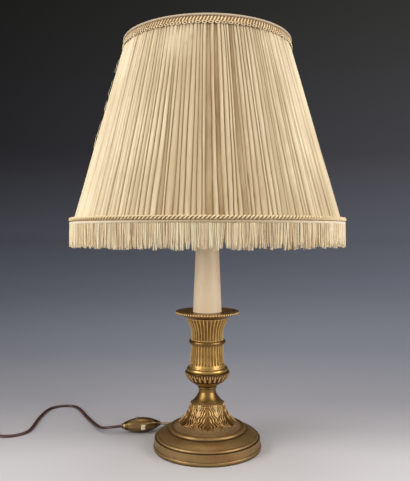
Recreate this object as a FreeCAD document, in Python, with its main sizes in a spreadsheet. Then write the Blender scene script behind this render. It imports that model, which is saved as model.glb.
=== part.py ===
"""Candlestick table lamp with a pleated, fringed shade, in millimetres.

The origin is the centre of the foot's underside, with Z up the stem. The front of the lamp faces -Y.
"""
import FreeCAD, Part
import Sketcher
import math
import os
import re

Vector = FreeCAD.Vector

# ------------------------------------------------------------------ driving dimensions
# Lengths in mm, angles in degrees, and counts.

SIZES = {
    # foot: a hollow casting, widest at its bottom band
    "foot_radius": 65,
    "foot_height": 55.5,
    "foot_wall": 3.2,
    "foot_seat": 5,
    "band_height": 12.9,
    "band_taper": 1.5,
    "rim_height": 4.4,
    "rim_inset": 0.5,
    "rim_bend": 5.1,
    "rim_step": 0.6,
    "groove_depth": 2.9,
    "groove_width": 1.1,
    "step_radius": 61.4,
    "step_height": 2.3,
    "step_bend": 2.4,
    "ovolo_outer_radius": 58.6,
    "ovolo_inner_radius": 45.8,
    "ovolo_rise": 5.2,
    "ovolo_bend": 20,
    "foot_ring_width": 4,
    "foot_ring_rise": 3.7,
    "foot_ring_bend": 2.8,
    "dome_foot_radius": 34,
    "dome_foot_drop": 24.9,
    "saucer_bend": 14,
    "dome_bend": 33,
    "lip_radius": 20,
    "lip_drop": 3.5,
    "foot_top_radius": 17.2,
    "leaf_count": 8,
    "leaf_valley_radius": 3.2,
    "leaf_valley_depth": 1.1,
    # outlet of the lead in the foot's back wall
    "outlet_height": 8,
    "outlet_azimuth": 80,
    "outlet_radius": 3.5,
    "bush_flange_radius": 5,
    "bush_flange": 1.3,
    "bush_seat_depth": 1.4,
    # polished neck
    "neck_height": 18.3,
    "neck_foot_radius": 16.2,
    "neck_foot": 1.8,
    "neck_waist_radius": 10.4,
    "neck_waist_height": 11.4,
    "neck_bend": 24,
    "neck_ring_height": 15.4,
    "neck_ring_bend": 1.5,
    # urn with its torus
    "urn_height": 22.8,
    "urn_foot_radius": 10.6,
    "urn_bowl_radius": 26.6,
    "urn_bowl_height": 17.2,
    "urn_bend": 24,
    "urn_groove": 0.8,
    "urn_torus_radius": 24.4,
    "urn_torus_bend": 2.9,
    "urn_top_radius": 21.9,
    # fluted drum, ring and flare
    "flute_count": 34,
    "flute_radius": 1.55,
    "flute_depth": 0.9,
    "drum_height": 27.9,
    "drum_foot_radius": 21.8,
    "drum_top_radius": 19.8,
    "drum_bend": 120,
    "drum_flute_lift": 5.5,
    "drum_flute_drift": 0.92,
    "ring_height": 4.8,
    "ring_edge_radius": 20.6,
    "ring_bend": 2.6,
    "flare_height": 26.7,
    "flare_foot_radius": 19.4,
    "flare_top_radius": 26.2,
    "flare_bend": 44,
    "flute_run_out": 8,
    # drip pan
    "pan_plate": 6.8,
    "pan_rim_radius": 36.4,
    "pan_rim_height": 4.9,
    "pan_rim_bend": 1.6,
    "pan_rim_thickness": 3,
    "pan_under_bend": 26,
    "pan_boss_radius": 18.9,
    "pan_dish_bend": 24,
    # threaded rod, washer and nuts
    "rod_radius": 5,
    "rod_bore": 3.5,
    "rod_clearance": 0.25,
    "rod_stub": 1.5,
    "washer_radius": 10,
    "washer_thickness": 1.5,
    "nut_across_flats": 15,
    "nut_thickness": 5,
    # candle sleeve
    "sleeve_height": 99.2,
    "sleeve_foot_radius": 17.25,
    "sleeve_top_radius": 13.15,
    "sleeve_wall": 1.4,
    # lampholder
    "fit_gap": 0.3,
    "holder_wall": 1,
    "holder_body_length": 38,
    "holder_cap_height": 12,
    "holder_cap_floor": 5,
    "holder_cap_wall": 2.8,
    "holder_flange_radius": 14.2,
    "holder_flange": 2,
    "holder_thread_radius": 13.9,
    "holder_thread_length": 14,
    "holder_thread_wall": 1.5,
    "insert_ledge": 24,
    "shell_length": 22,
    "shell_wall": 0.4,
    "contact_width": 3.6,
    "contact_length": 11,
    "contact_sheet": 0.5,
    "contact_button_radius": 2,
    "contact_button_height": 1,
    # bulb
    "bulb_cap_radius": 6.85,
    "bulb_cap_length": 20,
    "bulb_cap_wall": 0.4,
    "bulb_tip_radius": 2.2,
    "bulb_tip_height": 0.8,
    "bulb_insulator_height": 3.2,
    "bulb_radius": 22.5,
    "bulb_length": 78,
    "bulb_neck_bend": 20.5,
    "bulb_neck_angle": 50,
    "bulb_wall": 0.8,
    "stem_radius": 1.8,
    "stem_length": 22,
    "stem_flare": 3,
    "filament_radius": 8,
    "filament_wire": 0.4,
    # shade frame
    "fitter_radius": 19,
    "fitter_sheet": 1.6,
    "fitter_play": 0.2,
    "clamp_ring_radius": 18.4,
    "clamp_ring_height": 5,
    "arm_count": 3,
    "arm_rise": 7,
    "wire_radius": 1.5,
    "strut_count": 8,
    "weld_gap": 0.12,
    # shade cloth
    "shade_height": 212,
    "shade_foot_radius": 158.9,
    "shade_top_radius": 98.8,
    "pleat_count": 150,
    "pleat_depth": 2.5,
    "pleat_cloth": 0.5,
    "lining_sheet": 0.8,
    "hem": 1.6,
    "top_binding_height": 2.9,
    "top_binding_inner_radius": 94,
    "top_binding_overhang": 1.8,
    "top_gimp_height": 8,
    "gimp_thickness": 1,
    "rope_radius": 2.3,
    "rope_rise": 1.2,
    "piping_radius": 1.4,
    "piping_drop": 2.9,
    "fringe_length": 26,
    "fringe_thickness": 2.4,
    # in-line switch, an olive in two half shells
    "switch_x": -85.65,
    "switch_y": 49.95,
    "switch_turn": 12.85,
    "switch_length": 45.4,
    "switch_radius": 9.4,
    "switch_end_radius": 3.6,
    "switch_bend": 47.3,
    "switch_wall": 1.3,
    "switch_bush_depth": 6,
    "switch_bush_stub": 2,
    "button_width": 5,
    "button_height": 5.4,
    "button_offset": 1.6,
    "button_stand": 3.2,
    "button_travel": 3,
    "insert_length": 22,
    "insert_half_width": 4.6,
    "insert_half_height": 4.4,
    "screw_offset": -5,
    "screw_head_radius": 2.2,
    "screw_head": 1.1,
    "screw_shank_radius": 1.2,
    # lead, coil and plug
    "lead_radius": 2.5,
    "lead_gap": 0.35,
    "coil_x": -316,
    "coil_y": 31,
    "coil_bottom": 0.9,
    "coil_radius": 38.9,
    "coil_pitch": 5.5,
    "coil_turns": 6.3,
    "coil_start_angle": 44,
    "tie_angle": 255,
    "tie_width": 5,
    "tie_thickness": 0.6,
    "plug_x": -367,
    "plug_y": -36,
    "plug_length": 36,
    "plug_half_width": 17.6,
    "plug_half_waist": 12,
    "plug_back_half_width": 8,
    "plug_thickness": 13.7,
    "plug_edge": 2.5,
    "relief_length": 20,
    "relief_radius": 5.2,
    "relief_tip_radius": 3.2,
    "pin_radius": 2,
    "pin_length": 19,
    "pin_spacing": 18.6,
}

# ------------------------------------------------------------------ places worked out from the sizes

PLACES = {
    # the stack, from the foot up: each piece stands on the one below
    "bore": "rod_radius + rod_clearance",
    "flange_plane": "foot_radius - 0.4",
    "bush_seat": "flange_plane - bush_seat_depth",
    "neck_seat": "foot_height",
    "urn_seat": "neck_seat + neck_height",
    "drum_seat": "urn_seat + urn_height",
    "ring_seat": "drum_seat + drum_height",
    "flare_seat": "ring_seat + ring_height",
    "pan_seat": "flare_seat + flare_height",
    "sleeve_seat": "pan_seat + pan_plate",
    "sleeve_top": "sleeve_seat + sleeve_height",
    "washer_seat": "foot_height - foot_seat - washer_thickness",
    "nut_seat": "washer_seat - nut_thickness",
    "rod_bottom": "nut_seat - rod_stub",
    "holder_top_of_cap": "sleeve_top - holder_body_length",
    "holder_bottom": "holder_top_of_cap - holder_cap_height",
    "rod_top": "holder_bottom + holder_cap_floor + 1",
    "holder_radius": "sleeve_top_radius - sleeve_wall - fit_gap",
    "holder_bore": "holder_radius - holder_wall",
    "insert_radius": "holder_bore - fit_gap",
    "thread_base": "sleeve_top + holder_flange",
    "ledge": "holder_top_of_cap + insert_ledge",
    "shell_bore": "bulb_cap_radius + fit_gap",
    "shell_radius": "shell_bore + shell_wall",
    "contact_top": "ledge + contact_sheet + contact_button_height",
    "bulb_base": "contact_top + fit_gap",
    "bulb_cap_base": "bulb_base + bulb_tip_height + bulb_insulator_height - bulb_tip_height + 0.1",
    "bulb_cap_top": "bulb_cap_base + bulb_cap_length",
    "bulb_centre": "bulb_base + bulb_length - bulb_radius",
    # the shade hangs on its fitter, between the holder's flange and the clamp ring
    "fitter_bore": "holder_thread_radius + fit_gap",
    "fitter_seat": "thread_base + fitter_play",
    "clamp_seat": "fitter_seat + fitter_sheet + fitter_play",
    "arm_start_height": "fitter_seat + fitter_sheet / 2",
    "foot_ring_z": "arm_start_height + arm_rise",
    "cover_bottom": "foot_ring_z - hem",
    "cover_top": "foot_ring_z + shade_height",
    "top_ring_z": "cover_top - wire_radius - 0.2",
    "shade_slope": "(shade_foot_radius - shade_top_radius) / shade_height",
    "band_step": "band_height + groove_width",
    "ovolo_foot": "band_step + step_height",
    "ovolo_top": "ovolo_foot + ovolo_rise",
    "foot_ring_inner": "ovolo_inner_radius - foot_ring_width",
    "foot_ring_top": "ovolo_top + foot_ring_rise",
    "dome_foot": "foot_height - dome_foot_drop",
    "lip_foot": "foot_height - lip_drop",
    "switch_half": "switch_length / 2",
    "switch_core_half": "switch_half - switch_bush_depth",
    "switch_core_radius": "switch_end_radius + sqrt(switch_bend^2 - switch_core_half^2)"
                          " - sqrt(switch_bend^2 - switch_half^2)",
    "screw_seat": "switch_radius - 0.05",
}


def formula(text):
    """The text of an expression, with every place worked out and every size named on its sheet."""
    def swap(found):
        name = found.group()
        if name in PLACES:
            return "(" + formula(PLACES[name]) + ")"
        return "Sizes." + name if name in SIZES else name
    return re.sub(r"[a-z][a-z_0-9]*", swap, str(text))


document = FreeCAD.newDocument("candlestick_lamp")
sheet = document.addObject("Spreadsheet::Sheet", "Sizes")
for row, (alias, number) in enumerate(SIZES.items(), 1):
    sheet.set("A%d" % row, alias)
    sheet.set("B%d" % row, str(number))
    sheet.setAlias("B%d" % row, alias)
document.recompute()

nodes = []


def value(text):
    """A size or a place as a number."""
    return float(sheet.evalExpression(formula(text)))


def bind(thing, **properties):
    """Tie properties of a thing to expressions of the sheet's sizes."""
    for name, text in properties.items():
        thing.setExpression(name, formula(text))


def keep(thing, name):
    """Keep a finished piece under the name of its file."""
    thing.Label = name
    nodes.append(thing)
    return thing


# ------------------------------------------------------------------ sketches and features

def new_body(name):
    body = document.addObject("PartDesign::Body", name)
    return keep(body, name)


def origin_feature(body, role):
    return next(item for item in body.Origin.OriginFeatures if item.Role == role)


def new_sketch(body, plane, name, lift="0"):
    """A sketch on one of the body's own planes, lifted along the plane's normal."""
    sketch = body.newObject("Sketcher::SketchObject", name)
    sketch.AttachmentSupport = [(origin_feature(body, plane), "")]
    sketch.MapMode = "FlatFace"
    if lift != "0":
        sketch.setExpression("AttachmentOffset.Base.z", formula(lift))
    return sketch


def arc_centre(start, end, radius):
    """Centre of the short arc between two points that turns left for a positive radius."""
    middle = (start + end) * 0.5
    chord = end - start
    height = math.sqrt(max(radius ** 2 - (chord.Length / 2) ** 2, 0))
    left = Vector(-chord.y, chord.x, 0).normalize()
    return middle + left * math.copysign(height, radius)


def draw_path(sketch, corners, closed):
    """Lines and arcs through corners (across, up, radius of the arc that leaves the corner)."""
    points = [Vector(value(corner[0]), value(corner[1]), 0) for corner in corners]
    edge_count = len(corners) if closed else len(corners) - 1
    starts = []
    ends = []
    for index in range(edge_count):
        start = points[index]
        end = points[(index + 1) % len(points)]
        if len(corners[index]) < 3:
            edge = sketch.addGeometry(Part.LineSegment(start, end), False)
            starts.append((edge, 1))
            ends.append((edge, 2))
            continue
        radius = value(corners[index][2])
        centre = arc_centre(start, end, radius)
        first, last = (start, end) if radius > 0 else (end, start)
        angles = [math.atan2(point.y - centre.y, point.x - centre.x) for point in (first, last)]
        if angles[1] < angles[0]:
            angles[1] += 2 * math.pi
        circle = Part.Circle(centre, Vector(0, 0, 1), abs(radius))
        edge = sketch.addGeometry(Part.ArcOfCircle(circle, angles[0], angles[1]), False)
        starts.append((edge, 1 if radius > 0 else 2))
        ends.append((edge, 2 if radius > 0 else 1))
        number = sketch.addConstraint(Sketcher.Constraint("Radius", edge, abs(radius)))
        sketch.setExpression("Constraints[%d]" % number, formula("abs(%s)" % corners[index][2]))
    for index in range(1, edge_count):
        sketch.addConstraint(Sketcher.Constraint("Coincident", *ends[index - 1], *starts[index]))
    if closed:
        sketch.addConstraint(Sketcher.Constraint("Coincident", *ends[-1], *starts[0]))
        held = starts
    else:
        held = starts + [ends[-1]]
    for (edge, end), corner, point in zip(held, corners, points):
        for kind, text, place, axis in (("DistanceX", corner[0], point.x, -2), ("DistanceY", corner[1], point.y, -1)):
            if text == "0":
                sketch.addConstraint(Sketcher.Constraint("PointOnObject", edge, end, axis))
                continue
            number = sketch.addConstraint(Sketcher.Constraint(kind, -1, 1, edge, end, place))
            sketch.setExpression("Constraints[%d]" % number, formula(text))


def outline(body, plane, name, corners, lift="0"):
    sketch = new_sketch(body, plane, name, lift)
    draw_path(sketch, corners, True)
    return sketch


def circle_sketch(body, plane, name, across, up, radius, lift="0"):
    sketch = new_sketch(body, plane, name, lift)
    centre = Vector(value(across), value(up), 0)
    edge = sketch.addGeometry(Part.Circle(centre, Vector(0, 0, 1), value(radius)), False)
    number = sketch.addConstraint(Sketcher.Constraint("Radius", edge, value(radius)))
    sketch.setExpression("Constraints[%d]" % number, formula(radius))
    for kind, text, place, axis in (("DistanceX", across, centre.x, -2), ("DistanceY", up, centre.y, -1)):
        if text == "0":
            sketch.addConstraint(Sketcher.Constraint("PointOnObject", edge, 3, axis))
            continue
        number = sketch.addConstraint(Sketcher.Constraint(kind, -1, 1, edge, 3, place))
        sketch.setExpression("Constraints[%d]" % number, formula(text))
    return sketch


def revolve(body, sketch, axis="V_Axis", angle=360, kind="Revolution"):
    feature = body.newObject("PartDesign::" + kind, sketch.Name + "_turned")
    feature.Profile = sketch
    feature.ReferenceAxis = (sketch, [axis])
    feature.Angle = angle
    return feature


def turned(name, corners):
    """A body turned about Z from its outline: (radius, height, bend of the next edge)."""
    body = new_body(name)
    revolve(body, outline(body, "XZ_Plane", name + "_outline", corners))
    return body


def extrude(body, sketch, length, kind="Pad", symmetric=False, backwards=False):
    feature = body.newObject("PartDesign::" + kind, sketch.Name + "_" + kind.lower())
    feature.Profile = sketch
    if symmetric:
        feature.SideType = "Symmetric"
    feature.Reversed = backwards
    bind(feature, Length=length)
    return feature


def repeat_round(body, features, count, name):
    """Repeat features evenly about the body's Z axis."""
    pattern = body.newObject("PartDesign::PolarPattern", name)
    pattern.Originals = features
    pattern.Axis = (origin_feature(body, "Z_Axis"), [""])
    pattern.Angle = 360
    bind(pattern, Occurrences=count)
    body.Tip = pattern
    return pattern


def must_remove(body, before, what):
    """Stop if a cut has taken nothing away."""
    document.recompute()
    if body.Shape.Volume >= before - 1e-3:
        raise RuntimeError(what + " cut nothing")


def cut_grooves(body, name, spine, section_radius, count, ball_nosed=False):
    """Round grooves cut by a disc carried along a spine in the XZ plane, repeated about Z.

    A ball-nosed groove starts with a round end, as a ball cutter leaves it.
    """
    document.recompute()
    before = body.Shape.Volume
    path = new_sketch(body, "XZ_Plane", name + "_spine")
    draw_path(path, spine, False)
    section = circle_sketch(body, "XY_Plane", name + "_section", spine[0][0], "0", section_radius, spine[0][1])
    pipe = body.newObject("PartDesign::SubtractivePipe", name)
    pipe.Profile = section
    pipe.Spine = (path, ["Edge1"])
    repeat_round(body, [pipe], count, name + "_round")
    must_remove(body, before, name)
    if ball_nosed:
        before = body.Shape.Volume
        ball = body.newObject("PartDesign::SubtractiveSphere", name + "_nose")
        nose = "placement(%s; rotation(vector(0; 0; 1); 0))" % vector_text(spine[0][0], "0", spine[0][1])
        bind(ball, Radius=section_radius, Placement=nose)
        repeat_round(body, [ball], count, name + "_nose_round")
        must_remove(body, before, name + "_nose")


def primitive(kind, name, place="", **sizes):
    thing = document.addObject("Part::" + kind, name)
    bind(thing, **sizes)
    if place:
        thing.setExpression("Placement", formula(place))
    return thing


def combine(name, kind, parts):
    """A boolean of two pieces (Cut, Common) or a group or a fusion of several."""
    thing = document.addObject("Part::" + kind, name)
    if kind == "Compound":
        thing.Links = parts
    elif kind == "MultiFuse":
        thing.Shapes = parts
    else:
        thing.Base, thing.Tool = parts
    return thing


def vector_text(x, y, z):
    return "vector(%s; %s; %s)" % (x, y, z)


# ------------------------------------------------------------------ foot

def make_foot():
    """Cast foot: an open shell under a seat for the stem, leaved dome, bead ring, ovolo and band."""
    body = turned("foot", [
        ("foot_radius - rim_inset", "0", "rim_bend"),
        ("foot_radius - rim_inset", "rim_height"),
        ("foot_radius - rim_inset - rim_step", "rim_height"),
        ("foot_radius - band_taper", "band_height"),
        ("foot_radius - band_taper - groove_depth", "band_height"),
        ("foot_radius - band_taper - groove_depth", "band_step"),
        ("step_radius", "band_step", "step_bend"),
        ("ovolo_outer_radius", "ovolo_foot", "ovolo_bend"),
        ("ovolo_inner_radius", "ovolo_top", "foot_ring_bend"),
        ("foot_ring_inner", "foot_ring_top", "-saucer_bend"),
        ("dome_foot_radius", "dome_foot", "-dome_bend"),
        ("lip_radius", "lip_foot", "lip_drop + 1"),
        ("foot_top_radius", "foot_height"),
        ("bore", "foot_height"),
        ("bore", "foot_height - foot_seat"),
        ("lip_radius - foot_wall - 2", "foot_height - foot_seat", "dome_bend + foot_wall"),
        ("dome_foot_radius - foot_wall", "dome_foot - foot_wall"),
        ("ovolo_inner_radius - 1", "ovolo_top - foot_wall - 0.8"),
        ("ovolo_outer_radius - 1.1", "band_height - 0.4"),
        ("foot_radius - foot_wall - 0.8", "band_height - foot_wall"),
        ("foot_radius - foot_wall - 0.8", "0"),
    ])
    valley = "leaf_valley_radius - leaf_valley_depth"
    cut_grooves(body, "leaf_valley", [
        ("lip_radius + " + valley, "lip_foot", "dome_bend - 3"),
        ("dome_foot_radius + 3 + " + valley, "dome_foot - 0.5"),
    ], "leaf_valley_radius", "leaf_count")
    before = body.Shape.Volume
    hole = circle_sketch(body, "YZ_Plane", "outlet", "0", "outlet_height", "outlet_radius")
    bind(hole, **{"AttachmentOffset": "placement(vector(0; 0; 0); rotation(vector(0; 1; 0); outlet_azimuth))"})
    extrude(body, hole, "foot_radius + 1", "Pocket", backwards=True)
    must_remove(body, before, "outlet")
    before = body.Shape.Volume
    face = circle_sketch(body, "YZ_Plane", "bush_face", "0", "outlet_height", "bush_flange_radius + 0.1")
    where = vector_text("bush_seat * sin(outlet_azimuth)", "0", "bush_seat * cos(outlet_azimuth)")
    turn = "rotation(vector(0; 1; 0); outlet_azimuth)"
    bind(face, AttachmentOffset="placement(%s; %s)" % (where, turn))
    extrude(body, face, "bush_seat_depth + 2", "Pocket", backwards=True)
    must_remove(body, before, "bush_face")
    return body


def radial_place(radius, height):
    """Placement on the outlet's radius, with the piece's Z axis pointing outwards."""
    where = vector_text("(%s) * cos(outlet_azimuth)" % radius, "(%s) * sin(outlet_azimuth)" % radius, height)
    turn = "rotation(vector(0; 0; 1); outlet_azimuth) * rotation(vector(0; 1; 0); 90)"
    return "placement(%s; %s)" % (where, turn)


def make_cable_bush():
    """Flanged bush that lines the outlet: its barrel goes through the wall, its flange sits in a flat face."""
    body = turned("cable_bush", [
        ("lead_radius + 0.1", "-foot_wall - 2"),
        ("outlet_radius - 0.1", "-foot_wall - 2"),
        ("outlet_radius - 0.1", "-bush_seat_depth"),
        ("bush_flange_radius", "-bush_seat_depth"),
        ("bush_flange_radius", "0"),
        ("bush_flange_radius - 0.6", "bush_flange"),
        ("lead_radius + 0.1", "bush_flange"),
    ])
    bind(body, Placement=radial_place("flange_plane", "outlet_height"))
    return body


# ------------------------------------------------------------------ stem

def make_neck():
    z = "neck_seat"
    ring_top = z + " + neck_height"
    return turned("neck", [
        ("neck_foot_radius", z),
        ("neck_foot_radius", z + " + neck_foot", "-neck_bend"),
        ("neck_waist_radius", z + " + neck_waist_height"),
        ("neck_waist_radius", z + " + neck_ring_height", "neck_ring_bend"),
        ("neck_waist_radius", ring_top),
        ("bore", ring_top),
        ("bore", z),
    ])


def make_urn():
    z = "urn_seat"
    return turned("urn", [
        ("urn_foot_radius", z, "urn_bend"),
        ("urn_bowl_radius", z + " + urn_bowl_height"),
        ("urn_torus_radius", z + " + urn_bowl_height"),
        ("urn_torus_radius", z + " + urn_bowl_height + urn_groove", "urn_torus_bend"),
        ("urn_top_radius", z + " + urn_height"),
        ("bore", z + " + urn_height"),
        ("bore", z),
    ])


def make_lower_socket():
    """Drum with round-bottomed flutes, slightly waisted."""
    stand = "flute_radius - flute_depth"
    body = turned("lower_socket", [
        ("drum_foot_radius", "drum_seat", "-drum_bend"),
        ("drum_top_radius", "ring_seat"),
        ("bore", "ring_seat"),
        ("bore", "drum_seat"),
    ])
    cut_grooves(body, "drum_flute", [
        ("drum_foot_radius - drum_flute_drift + " + stand, "drum_seat + drum_flute_lift", "-drum_bend"),
        ("drum_top_radius + " + stand, "ring_seat"),
    ], "flute_radius", "flute_count", ball_nosed=True)
    return body


def make_socket_ring():
    return turned("socket_ring", [
        ("ring_edge_radius", "ring_seat", "ring_bend"),
        ("ring_edge_radius", "flare_seat"),
        ("bore", "flare_seat"),
        ("bore", "ring_seat"),
    ])


def make_upper_socket():
    """Flare whose flutes run out in a rounded end below the drip pan."""
    stand = "flute_radius - flute_depth"
    body = turned("upper_socket", [
        ("flare_foot_radius", "flare_seat", "-flare_bend"),
        ("flare_top_radius", "pan_seat"),
        ("bore", "pan_seat"),
        ("bore", "flare_seat"),
    ])
    cut_grooves(body, "flare_flute", [
        ("flare_foot_radius + " + stand, "flare_seat", "-(flare_bend - flute_run_out)"),
        ("flare_top_radius + " + stand, "pan_seat"),
    ], "flute_radius", "flute_count")
    return body


def make_drip_pan():
    """Shallow dished pan with a rolled rim and a flat boss where the sleeve stands."""
    z = "pan_seat"
    rim = z + " + pan_rim_height"
    rim_top = rim + " + pan_rim_thickness"
    return turned("drip_pan", [
        ("flare_top_radius", z, "-pan_under_bend"),
        ("pan_rim_radius", rim, "pan_rim_bend"),
        ("pan_rim_radius", rim_top),
        ("pan_rim_radius - 1", rim_top, "-pan_dish_bend"),
        ("pan_boss_radius", "sleeve_seat"),
        ("bore", "sleeve_seat"),
        ("bore", z),
    ])


def make_rod():
    return turned("threaded_rod", [
        ("rod_bore", "rod_bottom"),
        ("rod_radius", "rod_bottom"),
        ("rod_radius", "rod_top"),
        ("rod_bore", "rod_top"),
    ])


def make_washer():
    return turned("rod_washer", [
        ("bore", "washer_seat"),
        ("washer_radius", "washer_seat"),
        ("washer_radius", "washer_seat + washer_thickness"),
        ("bore", "washer_seat + washer_thickness"),
    ])


def make_nut(name, seat):
    """Hexagonal nut on the rod."""
    body = new_body(name)
    sketch = new_sketch(body, "XY_Plane", name + "_hexagon", seat)
    corner = "nut_across_flats / 2 / cos(30)"
    angles = range(0, 360, 60)
    corners = [("%s * cos(%d)" % (corner, a), "%s * sin(%d)" % (corner, a)) for a in angles]
    draw_path(sketch, corners, True)
    extrude(body, sketch, "nut_thickness")
    document.recompute()
    before = body.Shape.Volume
    hole = circle_sketch(body, "XY_Plane", name + "_bore", "0", "0", "bore", seat)
    extrude(body, hole, "nut_thickness", "Pocket", backwards=True)
    must_remove(body, before, name + " bore")
    return body


def make_sleeve():
    return turned("candle_sleeve", [
        ("sleeve_foot_radius - sleeve_wall", "sleeve_seat"),
        ("sleeve_foot_radius", "sleeve_seat"),
        ("sleeve_top_radius", "sleeve_top"),
        ("sleeve_top_radius - sleeve_wall", "sleeve_top"),
    ])


# ------------------------------------------------------------------ lampholder and bulb

def make_holder_cap():
    """Cup at the bottom of the lampholder, screwed on the rod."""
    inner = "holder_radius - holder_cap_wall"
    return turned("holder_cap", [
        ("bore", "holder_bottom"),
        ("holder_radius - 1", "holder_bottom"),
        ("holder_radius", "holder_bottom + 1"),
        ("holder_radius", "holder_top_of_cap"),
        (inner, "holder_top_of_cap"),
        (inner, "holder_bottom + holder_cap_floor"),
        ("bore", "holder_bottom + holder_cap_floor"),
    ])


def make_holder_body():
    """Tube with the flange that rests on the sleeve and the outside thread that takes the clamp ring."""
    thread_top = "thread_base + holder_thread_length"
    mouth = "holder_thread_radius - holder_thread_wall"
    return turned("holder_body", [
        ("holder_bore", "holder_top_of_cap"),
        ("holder_radius", "holder_top_of_cap"),
        ("holder_radius", "sleeve_top"),
        ("holder_flange_radius", "sleeve_top"),
        ("holder_flange_radius", "thread_base"),
        ("holder_thread_radius", "thread_base"),
        ("holder_thread_radius", thread_top),
        (mouth, thread_top),
        (mouth, "thread_base"),
        ("holder_bore", "thread_base"),
    ])


def make_holder_insert():
    """Insulating core with a ledge for the contact and a pocket for the screw shell."""
    return turned("holder_insert", [
        ("0", "holder_top_of_cap"),
        ("insert_radius", "holder_top_of_cap"),
        ("insert_radius", "ledge + shell_length - 3"),
        ("shell_radius + fit_gap", "ledge + shell_length - 3"),
        ("shell_radius + fit_gap", "ledge"),
        ("0", "ledge"),
    ])


def make_screw_shell():
    return turned("screw_shell", [
        ("shell_bore", "ledge"),
        ("shell_radius", "ledge"),
        ("shell_radius", "ledge + shell_length"),
        ("shell_bore", "ledge + shell_length"),
    ])


def make_centre_contact():
    strip_place = vector_text("-contact_length / 2", "-contact_width / 2", "ledge")
    strip = primitive("Box", "contact_strip", "placement(%s; rotation(vector(0; 0; 1); 0))" % strip_place,
                      Length="contact_length", Width="contact_width", Height="contact_sheet")
    button_place = vector_text("0", "0", "ledge + contact_sheet")
    button = primitive("Cylinder", "contact_button", "placement(%s; rotation(vector(0; 0; 1); 0))" % button_place,
                       Radius="contact_button_radius", Height="contact_button_height")
    keep(combine("centre_contact", "MultiFuse", [strip, button]), "centre_contact")


def make_bulb():
    """Globe bulb with a screw cap: contact tip, cap, glass, stem and filament."""
    tip_top = "bulb_base + bulb_tip_height"
    insulator_top = "bulb_base + bulb_insulator_height"
    turned("bulb_contact", [
        ("0", "bulb_base"),
        ("bulb_tip_radius", "bulb_base"),
        ("bulb_tip_radius + 0.2", tip_top),
        ("bulb_cap_radius - 0.1", insulator_top),
        ("0", insulator_top),
    ])
    turned("bulb_cap", [
        ("bulb_cap_radius - bulb_cap_wall", "bulb_cap_base"),
        ("bulb_cap_radius", "bulb_cap_base"),
        ("bulb_cap_radius", "bulb_cap_top"),
        ("bulb_cap_radius - bulb_cap_wall", "bulb_cap_top"),
    ])
    shoulder = ("bulb_radius * cos(bulb_neck_angle)", "bulb_centre - bulb_radius * sin(bulb_neck_angle)")
    inner = "(bulb_radius - bulb_wall)"
    inner_shoulder = (inner + " * cos(bulb_neck_angle)", "bulb_centre - %s * sin(bulb_neck_angle)" % inner)
    turned("bulb_glass", [
        ("bulb_cap_radius", "bulb_cap_top", "-bulb_neck_bend"),
        shoulder + ("bulb_radius",),
        ("bulb_radius * cos(20)", "bulb_centre + bulb_radius * sin(20)", "bulb_radius"),
        ("0", "bulb_centre + bulb_radius"),
        ("0", "bulb_centre + " + inner, "-" + inner),
        (inner + " * cos(20)", "bulb_centre + %s * sin(20)" % inner, "-" + inner),
        inner_shoulder + ("bulb_neck_bend + bulb_wall",),
        ("bulb_cap_radius - bulb_wall", "bulb_cap_top"),
    ])
    turned("bulb_stem", [
        ("0", "bulb_cap_top - stem_flare"),
        ("bulb_cap_radius - bulb_wall - fit_gap", "bulb_cap_top - stem_flare"),
        ("stem_radius", "bulb_cap_top + stem_flare"),
        ("stem_radius", "bulb_cap_top + stem_length"),
        ("0", "bulb_cap_top + stem_length"),
    ])
    make_filament()


def make_filament():
    """Hoop of filament on two lead wires that stand on the stem."""
    wire = "filament_wire"
    base = "bulb_cap_top + stem_length"
    rise = "4"
    hoop_place = vector_text("0", "0", "%s + %s" % (base, rise))
    pieces = [primitive("Torus", "filament_hoop", "placement(%s; rotation(vector(0; 0; 1); 0))" % hoop_place,
                        Radius1="filament_radius", Radius2=wire, Angle3="300")]
    for index, angle in enumerate(("0", "300")):
        lean = "atan((filament_radius - stem_radius / 2) / (%s))" % rise
        foot = vector_text("stem_radius / 2 * cos(%s)" % angle, "stem_radius / 2 * sin(%s)" % angle,
                           base + " + filament_wire")
        turn = "rotation(vector(0; 0; 1); %s) * rotation(vector(0; 1; 0); %s)" % (angle, lean)
        pieces.append(primitive("Cylinder", "filament_lead_%d" % index, "placement(%s; %s)" % (foot, turn),
                                Radius=wire, Height="sqrt((filament_radius - stem_radius / 2)^2 + (%s)^2)" % rise))
    keep(combine("bulb_filament", "MultiFuse", pieces), "bulb_filament")


# ------------------------------------------------------------------ shade

def cloth_radius(height):
    """Radius of the pleats' crests at a height."""
    return "(shade_foot_radius - (%s - foot_ring_z) * shade_slope)" % height


def lining_gap(height):
    """How far the lining's outside lies within the crests, drawn in like the pleats."""
    return "(pleat_depth + pleat_cloth + 0.5) * %s / shade_foot_radius" % cloth_radius(height)


def lining_radius(height):
    return "(%s - %s)" % (cloth_radius(height), lining_gap(height))


def frame_ring_radius(height):
    return "(%s - lining_sheet - fit_gap - wire_radius)" % lining_radius(height)


def wire_between(name, start_radius, start_height, end_radius, end_height, azimuth):
    """Straight round wire in the plane of an azimuth, as a cylinder with a worked-out placement."""
    run = "(%s - %s)" % (end_radius, start_radius)
    rise = "(%s - %s)" % (end_height, start_height)
    foot = vector_text("%s * cos(%s)" % (start_radius, azimuth), "%s * sin(%s)" % (start_radius, azimuth),
                       start_height)
    turn = "rotation(vector(0; 0; 1); %s) * rotation(vector(0; 1; 0); atan2(%s; %s))" % (azimuth, run, rise)
    return primitive("Cylinder", name, "placement(%s; %s)" % (foot, turn),
                     Radius="wire_radius", Height="sqrt(%s^2 + %s^2)" % (run, rise))


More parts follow.
